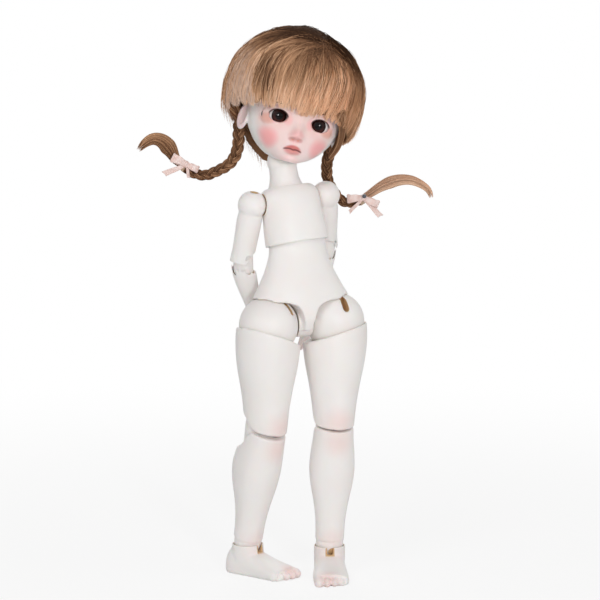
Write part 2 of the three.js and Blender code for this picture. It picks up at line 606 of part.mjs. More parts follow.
function shin() {
  let body = loft([
    [4, 9.6, 10.2, 12], [-3, 9.9, 10.3, 12.8], [-10, 10.6, 10.2, 15], [-18, 11.1, 9.8, 16.2],
    [-26, 10.4, 9.1, 14.8], [-35, 8.7, 7.9, 11.4], [-44, 7.4, 7.2, 8.9], [-54, 7.1, 7.1, 7.6],
  ], { sides: 16 });
  body = body.subtract(cutAbove(kneeShinLine));
  body = body.subtract(ball(knee.ball + knee.gap, [0, knee.back, -knee.half], [1, 1, 1], 14, 8));
  body = body.subtract(rod(knee.ball + knee.gap, [0, knee.back, -knee.half], [0, knee.back, 16], 14));
  body = body.add(ball(ankle.ball, [0, 0, -length.shin], [1, 1, 1], 14, 8));
  return body.subtract(rod(cord.channel, [0, knee.back, -knee.half], [0, 0, -length.shin - 9], 6));
}

const toes = [
  { x: 5.7, y: -24.4, width: 2.6, reach: 3.9, rise: 2.9 }, { x: 1.9, y: -25, width: 1.9, reach: 3.4, rise: 2.4 },
  { x: -1.7, y: -24.2, width: 1.8, reach: 3.2, rise: 2.3 }, { x: -5, y: -22.8, width: 1.7, reach: 3, rise: 2.2 },
  { x: -7.4, y: -20.8, width: 1.6, reach: 2.8, rise: 2.1 },
];

function foot(side) {
  const sole = -ankle.height;
  // Sections run from the heel to the roots of the toes: distance forward, half width, below, above
  let body = loft([
    [-11, 3.4, 4, 4.5], [-9, 6, 5, 8.5], [-5, 7.4, 5, 12], [1, 7.6, 5, 11.6], [8, 8, 5, 7.8],
    [15, 8.6, 5, 5], [20, 8.7, 5, 3.6], [24, 8, 4.6, 2.6],
  ], { sides: 12, power: 2.4, place: (x, y, z) => [x, -z, y + sole + 3] });
  body = body.add(loft([[-1, 7.7, 7.7, 7.9], [-5, 7.7, 8.2, 8.3], [-9.5, 7.5, 9.5, 9]], { sides: 14 }));
  for (const { x, y, width, reach, rise } of toes) {
    body = body.add(ball(1, [-side * x, y, sole + 1.9], [width, reach, rise], 7, 5));
  }
  body = body.subtract(block([-20, -40, sole - 10], [20, 20, sole]));
  body = body.subtract(ball(ankle.ball + ankle.gap, [0, 0, 0], [1, 1, 1], 14, 8));
  body = body.subtract(block([-1.4, -12, -4.6], [1.4, -5, 2]));
  return body.subtract(rod(1.6, [0, 0, 0], [0, 0, -11.5], 6));
}

const yawUp = new THREE.Vector3(0, 0, 1);
for (const [name, side] of [['left', 1], ['right', -1]]) {
  const angles = pose[name];
  const centre = [side * hip.spacing / 2, 0, 0];
  const channelTop = new THREE.Vector3(0, cord.back, 20);
  const away = new THREE.Vector3(...centre).sub(channelTop).normalize();
  const near = channelTop.clone().addScaledVector(away, 3.2);
  const far = new THREE.Vector3(...centre).addScaledVector(away, -hip.ball - 1);
  addMesh(pelvis, `cord_hip_${name}`, rod(cord.radius, near.toArray(), far.toArray(), 6), elastic);
  addMesh(group(pelvis, centre), `hip_ball_${name}`, hipBall(angles.slotYaw), resin);
  const leg = group(pelvis, centre, angles.hip.yaw, angles.hip.roll, angles.hip.pitch);
  addMesh(leg, `thigh_${name}`, thigh(side), resin);
  const top = knee.half - length.thigh;
  const lowEnd = new THREE.Vector3(0, knee.back, top).multiplyScalar(0.8).toArray();
  const highEnd = new THREE.Vector3(0, knee.back, top).multiplyScalar(0.32).toArray();
  addMesh(leg, `cord_thigh_${name}`, rod(cord.radius, highEnd, lowEnd, 6), elastic);
  const kneeTop = group(leg, [0, knee.back, top], 0, 0, angles.kneeTop);
  addMesh(kneeTop, `knee_joint_${name}`, capsule(knee.ball, knee.half, 14, cord.channel), resin);
  const kneeLow = group(kneeTop, [0, 0, -2 * knee.half], 0, 0, angles.kneeLow);
  addMesh(kneeLow, `shin_${name}`, shin(), resin, [0, -knee.back, knee.half]);
  addMesh(kneeLow, `cord_shin_${name}`, rod(cord.radius, [0, -0.4, -10], [0, -knee.back + 0.2, -48], 6), elastic);
  const ankleJoint = group(kneeLow, [0, -knee.back, knee.half - length.shin]);
  doll.updateMatrixWorld(true);
  const shinTurn = kneeLow.getWorldQuaternion(new THREE.Quaternion());
  const flatTurn = new THREE.Quaternion().setFromAxisAngle(yawUp, radians(angles.foot));
  ankleJoint.quaternion.copy(shinTurn.invert().multiply(flatTurn));
  addMesh(ankleJoint, `foot_${name}`, foot(side), resin);
  addMesh(ankleJoint, `ankle_hook_${name}`, limbHook(-7.6, -11.1, 0.5), steel);
}

// The origin goes under the middle of the doll's box
doll.updateMatrixWorld(true);
const box = new THREE.Box3().setFromObject(doll, true);
figure.position.set(-(box.min.x + box.max.x) / 2, -(box.min.y + box.max.y) / 2, -box.min.z);
doll.updateMatrixWorld(true);

export default doll;
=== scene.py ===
# Ball jointed doll with a braided wig: the looks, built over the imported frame.
# Pieces are shaped in millimetres, each in its own joint's frame, and then placed in metres.
import json
import math

import bpy
import numpy as np
from mathutils import Matrix, Vector


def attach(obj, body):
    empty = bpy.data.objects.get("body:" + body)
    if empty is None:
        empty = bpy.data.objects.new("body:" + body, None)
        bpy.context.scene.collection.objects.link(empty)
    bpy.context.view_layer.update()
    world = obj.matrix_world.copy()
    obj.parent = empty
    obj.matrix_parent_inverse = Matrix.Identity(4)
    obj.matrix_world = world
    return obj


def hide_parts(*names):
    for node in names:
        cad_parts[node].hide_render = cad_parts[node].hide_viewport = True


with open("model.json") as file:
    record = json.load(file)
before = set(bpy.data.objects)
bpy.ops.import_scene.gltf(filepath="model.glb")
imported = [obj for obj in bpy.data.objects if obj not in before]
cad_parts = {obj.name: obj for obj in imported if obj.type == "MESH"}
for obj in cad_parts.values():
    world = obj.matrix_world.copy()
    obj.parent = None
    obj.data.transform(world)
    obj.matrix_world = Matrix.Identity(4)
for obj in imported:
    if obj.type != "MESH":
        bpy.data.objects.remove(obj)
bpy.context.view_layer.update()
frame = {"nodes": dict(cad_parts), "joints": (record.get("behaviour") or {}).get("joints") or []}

scene = bpy.context.scene
random = np.random.default_rng(11)
mm = 0.001
print("frame loaded")

# Places: each joint's frame as a 4 x 4 matrix in millimetres


def axisTurn(axis, degrees):
    # The turn about one axis, as a matrix
    angle = math.radians(degrees)
    c, s = math.cos(angle), math.sin(angle)
    i, j = [(1, 2), (2, 0), (0, 1)]["xyz".index(axis)]
    matrix = np.eye(4)
    matrix[i, i] = matrix[j, j] = c
    matrix[i, j], matrix[j, i] = -s, s
    return matrix


def movedTo(x, y, z):
    matrix = np.eye(4)
    matrix[:3, 3] = (x, y, z)
    return matrix


def turned(yaw, roll, pitch):
    return axisTurn("z", yaw) @ axisTurn("y", roll) @ axisTurn("x", pitch)


# Sizes in millimetres, and the height or depth at which one piece meets the next
hip = {"spacing": 35, "ball": 14.5, "seam": 0.4, "rimHeight": 11, "septum": 6.5, "septumGap": 1.8}
knee = {"ball": 8.3, "gap": 0.55, "half": 5, "back": 2.5}
ankle = {"ball": 6.8, "gap": 0.5, "height": 16}
waist = {"height": 39.6, "halfWidth": 14.4, "depth": 9.8, "gap": 1.1}
neck = {"ball": 9, "top": 7.4, "gap": 0.45, "back": 3, "seat": 26, "headJoint": 14.8}
shoulder = {"x": 19.8, "y": 1, "z": 21.5, "ball": 7, "gap": 0.4}
elbow = {"ball": 4.9, "gap": 0.45, "half": 3.5}
wrist = {"ball": 3.5, "gap": 0.5}
length = {"thigh": 54, "shin": 56, "upperArm": 29.5, "forearm": 31}
cord = {"radius": 1.2, "armRadius": 0.9, "channel": 2.4, "armChannel": 1.9, "back": 4.6, "armLow": 15.2,
        "fork": 20.0}
eye = {"x": 10.5, "y": -13.6, "z": 21, "ball": 7, "gap": 0.4}
ear = (24.4, 1.2, 17.6)
sides = {"left": 1, "right": -1}

# The stance in degrees: yaw, roll and pitch, and for an arm roll, pitch and twist
pose = {
    "pelvis": (0, -1.335, -5.9), "waist": (1.9, -4.9, -4.6), "neck": (-0.3, -0.3, 5.3),
    "head": (-12.5, 21.9, 4.2),
    "left": {"hip": (-6.6, 4.2, -0.2), "slotYaw": 6, "kneeTop": 3.1, "kneeLow": 2.6, "foot": -19.8,
             "arm": (-6, 34, -60), "elbow": 11.6},
    "right": {"hip": (22.6, -0.4, 7.6), "slotYaw": 45, "kneeTop": 6.8, "kneeLow": 4.4, "foot": 33.2,
              "arm": (12.3, 23.8, 103.8), "elbow": 13.6},
}

joints = {joint["name"]: np.array(joint["pos_m"]) / mm for joint in frame["joints"]}
hipMiddle = (joints["hip_swing_left"] + joints["hip_swing_right"]) / 2

place = {"pelvis": movedTo(*hipMiddle) @ turned(*pose["pelvis"])}
place["chest"] = place["pelvis"] @ movedTo(0, 0, waist["height"]) @ turned(*pose["waist"])
place["neck"] = place["chest"] @ movedTo(0, neck["back"], neck["seat"]) @ turned(*pose["neck"])
place["head"] = place["neck"] @ movedTo(0, 0, neck["headJoint"]) @ turned(*pose["head"])
for name, side in sides.items():
    angles = pose[name]
    roll, pitch, twist = angles["arm"]
    arm = place["chest"] @ movedTo(side * shoulder["x"], shoulder["y"], shoulder["z"])
    arm = arm @ axisTurn("y", roll) @ axisTurn("x", pitch) @ axisTurn("z", twist)
    elbowTop = arm @ movedTo(0, 0, elbow["half"] - length["upperArm"]) @ axisTurn("x", -angles["elbow"])
    elbowLow = elbowTop @ movedTo(0, 0, -2 * elbow["half"]) @ axisTurn("x", -angles["elbow"])
    leg = place["pelvis"] @ movedTo(side * hip["spacing"] / 2, 0, 0)
    thigh = leg @ turned(*angles["hip"])
    kneeTop = thigh @ movedTo(0, knee["back"], knee["half"] - length["thigh"])
    kneeTop = kneeTop @ axisTurn("x", angles["kneeTop"])
    kneeLow = kneeTop @ movedTo(0, 0, -2 * knee["half"]) @ axisTurn("x", angles["kneeLow"])
    ankleAt = kneeLow @ movedTo(0, -knee["back"], knee["half"] - length["shin"])
    place[name] = {
        "arm": arm, "elbow": elbowTop, "elbowLow": elbowLow,
        "forearm": elbowLow @ movedTo(0, 0, elbow["half"]),
        "hand": elbowLow @ movedTo(0, 0, elbow["half"] - length["forearm"]),
        "hip": leg, "thigh": thigh, "knee": kneeTop, "kneeLow": kneeLow,
        "shin": kneeLow @ movedTo(0, -knee["back"], knee["half"]),
        "foot": movedTo(*ankleAt[:3, 3]) @ axisTurn("z", angles["foot"]),
    }


def worldPoint(matrix, point):
    # A local point in millimetres as a world point in metres
    return matrix[:3, :3] @ np.asarray(point, float) * mm + matrix[:3, 3] * mm


def directionTo(azimuth, elevation):
    # The unit vector from the doll towards a viewer or a lamp, where azimuth 0 is straight in front
    turn, rise = math.radians(azimuth), math.radians(elevation)
    return np.array([math.sin(turn) * math.cos(rise), -math.cos(turn) * math.cos(rise), math.sin(rise)])


# The photograph's view; aim is measured from the middle of the hips
view = {"azimuth": -20.92, "elevation": 5.9, "distance": 1000, "lens": 120, "sensor": 36,
        "aim": (5.85, 18.04, 9.58)}
towards = directionTo(view["azimuth"], view["elevation"])
aim = hipMiddle + np.array(view["aim"])
lens = bpy.data.cameras.new("view")
lens.lens, lens.sensor_width = view["lens"], view["sensor"]
lens.clip_start, lens.clip_end = 0.05, 20
camera = bpy.data.objects.new("view", lens)
camera.location = Vector((aim + view["distance"] * towards) * mm)
camera.rotation_euler = Vector(towards).to_track_quat("Z", "Y").to_euler()
scene.collection.objects.link(camera)
scene.camera = camera

# Materials


class Value:
    # A number that varies over a surface: arithmetic on it adds Math nodes
    def __init__(self, shader, socket):
        self.shader, self.socket = shader, socket

    def math(self, operation, *others):
        return self.shader.node("Math", {"operation": operation}, [self, *others])

    def __add__(self, other):
        return self.math("ADD", other)

    def __sub__(self, other):
        return self.math("SUBTRACT", other)

    def __rsub__(self, other):
        return self.shader.node("Math", {"operation": "SUBTRACT"}, [other, self])

    def __mul__(self, other):
        return self.math("MULTIPLY", other)

    def __truediv__(self, other):
        return self.math("DIVIDE", other)

    def __pow__(self, other):
        return self.math("POWER", other)

    __radd__, __rmul__ = __add__, __mul__

    def step(self, low, high):
        # 0 at low, 1 at high and smooth between them; low may be the larger
        return self.shader.node("MapRange", {"interpolation_type": "SMOOTHSTEP"}, [self, low, high, 0.0, 1.0])


class Shader:
    # A material and its node tree; constants are sockets of its Principled shader
    def __init__(self, name, constants):
        self.material = bpy.data.materials.new(name)
        self.material.use_nodes = True
        self.tree = self.material.node_tree
        self.surface = self.tree.nodes["Principled BSDF"]
        for socket, value in constants.items():
            self.surface.inputs[socket].default_value = value

    def node(self, kind, settings=None, inputs=(), output=0):
        # One node: its settings go first, and its inputs are values or links, by number or by name
        made = self.tree.nodes.new("ShaderNode" + kind)
        for name, value in (settings or {}).items():
            if name == "stops":
                ramp = made.color_ramp.elements
                while len(ramp) < len(value):
                    ramp.new(0.5)
                for element, (at, colour) in zip(ramp, value):
                    element.position, element.color = at, (*colour, 1)
            else:
                setattr(made, name, value)
        pairs = inputs.items() if isinstance(inputs, dict) else enumerate(inputs)
        for name, value in pairs:
            self.feed(made.inputs[name], value)
        return Value(self, made.outputs[output])

    def feed(self, socket, value):
        if isinstance(value, Value):
            self.tree.links.new(value.socket, socket)
        elif isinstance(value, (tuple, list)) and socket.type == "RGBA":
            socket.default_value = (*value, 1)
        else:
            socket.default_value = value

    def position(self):
        return self.node("TexCoord", output=3)

    def local(self, matrix):
        # The three coordinates of the shaded point in a joint's frame, in millimetres
        point = self.position()
        found = []
        for axis in matrix[:3, :3].T:
            along = self.node("VectorMath", {"operation": "DOT_PRODUCT"}, [point, tuple(axis / mm)], 1)
            found.append(along - float(axis @ matrix[:3, 3]))
        return found

    def distance(self, point):
        # Millimetres from a world point in metres
        return self.node("VectorMath", {"operation": "DISTANCE"}, [self.position(), tuple(point)], 1) / mm

    def noise(self, scale, detail=2.0):
        return self.node("TexNoise", {}, {"Vector": self.position(), "Scale": scale, "Detail": detail})

    def mix(self, mask, first, second):
        return self.node("Mix", {"data_type": "RGBA"}, {0: mask, 6: first, 7: second}, 2)

    def bump(self, height, strength, distance):
        return self.node("Bump", {}, {"Strength": strength, "Distance": distance, "Height": height})

    def wear(self, **sockets):
        for name, value in sockets.items():
            self.feed(self.surface.inputs[name.replace("_", " ")], value)
        return self.material


# socket and slot are painted warm shade for the insides of the joints
resinLook = {
    "skin": (0.895, 0.865, 0.845), "warm": (0.88, 0.81, 0.775), "socket": (0.80, 0.70, 0.60),
    "slot": (0.60, 0.38, 0.19), "blush": (0.86, 0.50, 0.46),
    "cloud": 45.0, "cloudiness": 0.35, "grain": 1400.0, "grainDepth": 0.00001,
    "roughness": 0.42, "uneven": 0.1, "edge": 0.15,
}


def resinShader(name, matrix, shadedHollows=(), blushes=()):
    # Cast resin: a faint cloudy tone and fine grain, painted warm shade inside the joints' sockets and slots,
    # airbrushed blush at the given spots. A hollow is (tone, centre, radius) for a ball, or (tone, centre,
    # radius, lowest z, highest z) for a hole that runs along the frame's Z axis; its tone names the painted
    # shade.
    shader = Shader(name, {"IOR": 1.5, "Coat Roughness": 0.25, "Subsurface Weight": 0.12,
                           "Subsurface Scale": 0.002})
    cloud = shader.noise(resinLook["cloud"]).step(0.35, 0.7)
    colour = shader.mix(cloud * resinLook["cloudiness"], resinLook["skin"], resinLook["warm"])
    for centre, reach, strength in blushes:
        spot = shader.distance(worldPoint(matrix, centre)).step(reach, 0.0)
        colour = shader.mix(spot * strength, colour, resinLook["blush"])
    x, y, z = shader.local(matrix)
    edge = resinLook["edge"]
    # Painted warm shade inside each hollow, where the joints' gaps fall into shade
    for tone, centre, radius, *heights in shadedHollows:
        if heights:
            low, high = heights
            across = ((x - centre[0]) ** 2 + (y - centre[1]) ** 2) ** 0.5
            inside = across.step(radius + edge, radius - edge) * z.step(low - 0.5, low + 0.5)
            inside = inside * z.step(high + 0.5, high - 0.5)
        else:
            inside = shader.distance(worldPoint(matrix, centre)).step(radius + edge, radius - edge)
        colour = shader.mix(inside, colour, resinLook[tone])
    grain = shader.noise(resinLook["grain"])
    roughness = resinLook["roughness"] + resinLook["uneven"] * shader.noise(160.0)
    return shader, colour, roughness, shader.bump(grain, 0.25, resinLook["grainDepth"])


def resin(name, matrix, shadedHollows=(), blushes=()):
    shader, colour, roughness, bump = resinShader(name, matrix, shadedHollows, blushes)
    return shader.wear(Base_Color=colour, Roughness=roughness, Normal=bump)


print("materials ready")

# Surfaces and pieces


def smoothAt(rows, at):
    # A Catmull-Rom curve through the rows, read at any row numbers
    rows = np.asarray(rows, float)
    i = np.clip(at.astype(int), 0, len(rows) - 2)
    t = (at - i)[..., None]
    a, b, c, d = (rows[np.clip(i + k, 0, len(rows) - 1)] for k in (-1, 0, 1, 2))
    return b + 0.5 * t * (c - a + t * (2 * a - 5 * b + 4 * c - d + t * (3 * (b - c) + d - a)))


def smoothRows(rows, count):
    return smoothAt(rows, np.linspace(0, len(rows) - 1, count))


def loftGrid(stations, rings=60, around=96, power=2.0):
    # Half width and the front and back depths run smoothly over the stations; each section is a superellipse
    z, halfWidth, front, back = smoothRows(stations, rings).T[..., None]
    angle = np.linspace(0, 2 * np.pi, around, endpoint=False)
    c, s = np.cos(angle), np.sin(angle)
    x = np.sign(c) * np.abs(c) ** (2 / power) * halfWidth
    y = np.sign(s) * np.abs(s) ** (2 / power) * np.where(s < 0, front, back)
    return np.stack([x, y, z + 0 * x], -1)


def unit(vectors):
    return vectors / np.linalg.norm(vectors, axis=-1, keepdims=True)


def pathFrame(points, reference):
    # Unit vectors at each point: along the path, across it and the reference, and over, nearest the reference
    along = unit(np.gradient(points, axis=-2))
    across = unit(np.cross(np.broadcast_to(reference, along.shape), along))
    return along, across, np.cross(along, across)


def sweepGrid(points, radii, around=12, reference=(0, 1, 0), flat=1.0):
    # Rings about the path, where flat squeezes each ring in the direction nearest the reference
    points = np.asarray(points, float)
    along, across, over = pathFrame(points, reference)
    angle = np.linspace(0, 2 * np.pi, around, endpoint=False)[:, None]
    radii = np.broadcast_to(radii, points.shape[:-1])[..., None, None]
    ring = np.cos(angle) * across[..., None, :] + flat * np.sin(angle) * over[..., None, :]
    return points[..., None, :] + radii * ring


def tubeMesh(name, grid, tones=None):
    # Closed tubes over rings of points, one or many at once: quads between neighbouring rings, and each end
    # ring fanned from its first point. tones holds one number for each ring point, kept as an attribute.
    # Tubes with three sides are shaded flat, because smooth ones catch their own shadow.
    grid = np.asarray(grid, float)
    if grid.ndim == 3:
        grid = grid[None]
    tubes, rings, around = grid.shape[:3]
    a = np.arange(tubes * rings * around).reshape(tubes, rings, around)
    b = np.roll(a, -1, axis=2)
    quads = np.stack([a[:, :-1], b[:, :-1], b[:, 1:], a[:, 1:]], -1).reshape(-1, 4)
    fan = np.arange(1, around - 1)
    first = np.zeros_like(fan)
    ends = [a[:, 0][:, order] for order in (first, fan + 1, fan)]
    tops = [a[:, -1][:, order] for order in (first, fan, fan + 1)]
    triangles = np.concatenate([np.stack(ends, -1).reshape(-1, 3), np.stack(tops, -1).reshape(-1, 3)])
    points = grid.reshape(-1, 3)
    split = np.concatenate([quads[:, [0, 1, 2]], quads[:, [0, 2, 3]], triangles])
    p, q, r = points[split[:, 0]], points[split[:, 1]], points[split[:, 2]]
    if np.einsum("ij,ij->", p, np.cross(q, r)) < 0:
        quads, triangles = quads[:, ::-1], triangles[:, ::-1]
    mesh = bpy.data.meshes.new(name)
    mesh.vertices.add(len(points))
    mesh.vertices.foreach_set("co", points.ravel())
    corners = np.concatenate([quads.ravel(), triangles.ravel()])
    mesh.loops.add(len(corners))
    mesh.loops.foreach_set("vertex_index", corners)
    starts = np.concatenate([np.arange(len(quads)) * 4, len(quads) * 4 + np.arange(len(triangles)) * 3])
    mesh.polygons.add(len(starts))
    mesh.polygons.foreach_set("loop_start", starts)
    mesh.polygons.foreach_set("use_smooth", np.full(len(starts), around > 3))
    if tones is not None:
        layer = mesh.attributes.new("tone", "FLOAT", "POINT")
        layer.data.foreach_set("value", np.broadcast_to(tones, grid.shape[:-1]).ravel())
    mesh.update(calc_edges=True)
    return mesh


def loft(stations, **options):
    return tubeMesh("loft", loftGrid(stations, **options))


def ball(radius, centre=(0, 0, 0), scale=(1, 1, 1), around=64):
    # A sphere from pole to pole, stretched and moved
    angle = np.linspace(0.01, np.pi - 0.01, around // 2)
    turn = np.linspace(0, 2 * np.pi, around, endpoint=False)
    ring = np.sin(angle)[:, None]
    grid = np.stack([ring * np.cos(turn), ring * np.sin(turn), np.cos(angle)[:, None] + 0 * turn], -1)
    return tubeMesh("ball", radius * grid * np.asarray(scale) + np.asarray(centre))


def rod(radius, start, end, around=40):
    path = np.linspace(start, end, 2)
    along = path[1] - path[0]
    reference = (0, 1, 0) if abs(along[1]) < 0.7 * np.linalg.norm(along) else (1, 0, 0)
    return tubeMesh("rod", sweepGrid(path, radius, around, reference))


def prism(outline, near, far, axis):
    # An outline pushed along an axis: (x, z) along Y, (y, z) along X
    outline = np.asarray(outline, float)
    first, second = outline.T
    walls = []
    for depth in (near, far):
        level = np.full(len(outline), float(depth))
        walls.append(np.stack([level, first, second] if axis == "x" else [first, level, second], -1))
    count = len(outline)
    i = np.arange(count)
    j = (i + 1) % count
    faces = np.stack([i, j, j + count, i + count], -1).tolist() + [i[::-1].tolist(), (i + count).tolist()]
    mesh = bpy.data.meshes.new("prism")
    mesh.from_pydata(np.concatenate(walls).tolist(), [], faces)
    clockwise = np.sum(first * np.roll(second, -1) - np.roll(first, -1) * second) < 0
    if clockwise == (axis == "x"):
        mesh.flip_normals()
    return mesh


def block(low, high):
    corners = [(low[0], low[2]), (high[0], low[2]), (high[0], high[2]), (low[0], high[2])]
    return prism(corners, low[1], high[1], "y")


def bySide(side, outline):
    return [(side * x, z) for x, z in outline]


def join(*meshes):
    return [("join", mesh) for mesh in meshes]


def cut(*meshes):
    return [("cut", mesh) for mesh in meshes]


def carve(body, steps, voxel=0.62, rounding=3):
    # Solids joined to a body, cut from it or kept in common with it in order, then one even mesh with its
    # edges rounded
    piece = bpy.data.objects.new("blank", body)
    scene.collection.objects.link(piece)
    tools = []
    for operation, mesh in steps:
        tool = bpy.data.objects.new("tool", mesh)
        scene.collection.objects.link(tool)
        tools.append(tool)
        modifier = piece.modifiers.new("carve", "BOOLEAN")
        modifier.operation = {"join": "UNION", "cut": "DIFFERENCE", "keep": "INTERSECT"}[operation]
        modifier.solver = "MANIFOLD"
        modifier.object = tool
    even = piece.modifiers.new("even", "REMESH")
    even.mode, even.voxel_size, even.use_smooth_shade = "VOXEL", voxel, True
    soft = piece.modifiers.new("soft", "SMOOTH")
    soft.factor, soft.iterations = 0.5, rounding
    bpy.context.view_layer.update()
    mesh = bpy.data.meshes.new_from_object(piece.evaluated_get(bpy.context.evaluated_depsgraph_get()))
    for made in [piece, *tools]:
        bpy.data.objects.remove(made)
    return mesh


def moveMesh(mesh, matrix, scale=1.0):
    # Each vertex through the matrix, then scaled
    points = np.empty(len(mesh.vertices) * 3)
    mesh.vertices.foreach_get("co", points)
    points = points.reshape(-1, 3) @ matrix[:3, :3].T + matrix[:3, 3]
    mesh.vertices.foreach_set("co", (points * scale).ravel())
    mesh.update()


def addPiece(name, mesh, matrix, material, body, node):
    # Puts a local mesh in its place, in metres, and says what it rides on and which node it stands for
    mesh.name = name
    moveMesh(mesh, matrix, mm)
    mesh.materials.clear()
    mesh.materials.append(material)
    piece = bpy.data.objects.new(name, mesh)
    scene.collection.objects.link(piece)
    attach(piece, body)
    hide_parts(node)


def addResin(name, look, node, mesh, matrix, shadedHollows=(), blushes=()):
    # A piece of the body, whose node has the name of what it rides on; look is its material's name
    addPiece(name, mesh, matrix, resin(look, matrix, shadedHollows, blushes), node, node)


def addToHead(name, mesh, material, node):
    addPiece(name, mesh, place["head"], material, "head", node)


# Torso. Stations are height, half width, depth in front and depth behind.

torso = {
    "legRim": [[2.2, 0], [4.6, 7.2], [9.6, 10.2], [17.5, hip["rimHeight"]], [36, hip["rimHeight"] + 0.5]],
    "pelvis": [
        [-3.5, 21, 9, 10], [1, 26.4, 12, 12.6], [6, 27.2, 12.8, 13.2], [12, 25.2, 12.8, 13],
        [19, 21.2, 12.1, 12.2], [27, 17.2, 10.8, 10.8], [34, 14.8, 9.6, 9.6], [38, 14.4, 9.4, 9.4],
    ],
    "chest": [
        [0, 16.1, 11.6, 11.6], [7, 15.7, 11.8, 11.8], [14, 15, 11.6, 12], [20, 15.2, 11, 12.6],
        [24, 14.8, 10, 13.5], [26.6, 13.4, 8.6, 13.7], [28.2, 11.2, 7.2, 13],
    ],
    "neck": [[1, 8.2, 8.2, 8.2], [4.5, 7.8, 7.8, 7.8], [8, 7.1, 7.1, 7.1], [14.8, 6.7, 6.7, 6.7]],
}


def makeTorso():
    channel, back = cord["channel"], cord["back"]
    hips = [(side * hip["spacing"] / 2, 0, 0) for side in sides.values()]
    shoulders = [(side * shoulder["x"], shoulder["y"], shoulder["z"]) for side in sides.values()]
    cup, shoulderCup = hip["ball"] + hip["seam"], shoulder["ball"] + shoulder["gap"]

    legLine = [*smoothRows(torso["legRim"], 25), [36, -20], [2.2, -20]]
    steps = join(ball(1, (0, 0, waist["height"]), (waist["halfWidth"], waist["depth"], waist["depth"]), 96))
    for side in sides.values():
        low, high = sorted([side * 2.2, side * 40])
        steps += cut(prism(bySide(side, legLine), -30, 0.5, "y"), block((low, 0.4, -20), (high, 30, 1.5)))
    steps += join(rod(hip["septum"], (-11, 0, 0), (11, 0, 0)))
    for centre in hips:
        steps += cut(ball(cup, centre, around=96), rod(channel, centre, (0, back, cord["fork"])))
    steps += cut(rod(channel, (0, back, 17), (0, back, 60)))
    shadedHollows = [("socket", centre, cup + 0.3) for centre in hips]
    shadedHollows.append(("slot", (0, back, 0), channel + 0.2, 10, 60))
    mesh = carve(loft(torso["pelvis"], power=2.2, around=128), steps)
    addResin("pelvis_shell", "torsoResin", "lower_torso", mesh, place["pelvis"], shadedHollows)

    hollow = [waist["halfWidth"] + waist["gap"]] + [waist["depth"] + waist["gap"]] * 2
    seat = ball(neck["ball"] + neck["gap"], (0, neck["back"], neck["seat"]))
    steps = cut(ball(1, (0, 0, 0), hollow, 96), seat)
    for side, centre in zip(sides.values(), shoulders):
        armHole = rod(cord["armChannel"], (-side * 1.5, 0, cord["armLow"] - 0.5), (side * 19, 1.4, 22.2))
        steps += cut(ball(shoulderCup, centre), armHole)
    steps += cut(rod(channel, (0, back, 5), (0, back, 24)))
    shadedHollows = [("slot", centre, shoulderCup + 0.3) for centre in shoulders]
    mesh = carve(loft(torso["chest"], power=2.2, around=128), steps)
    addResin("chest_shell", "chestResin", "chest", mesh, place["chest"], shadedHollows)

    steps = join(ball(neck["ball"]), ball(neck["top"], (0, 0, neck["headJoint"])))
    steps += cut(rod(channel, (0, 0, -12), (0, 0, 26)))
    shadedHollows = [("slot", (0, 0, 0), channel + 0.2, -20, 40)]
    addResin("neck_piece", "neckResin", "neck", carve(loft(torso["neck"]), steps), place["neck"], shadedHollows)
    print("torso made")


# Head. The surface is the smooth loft of its sections; the face's features push it forward or back.

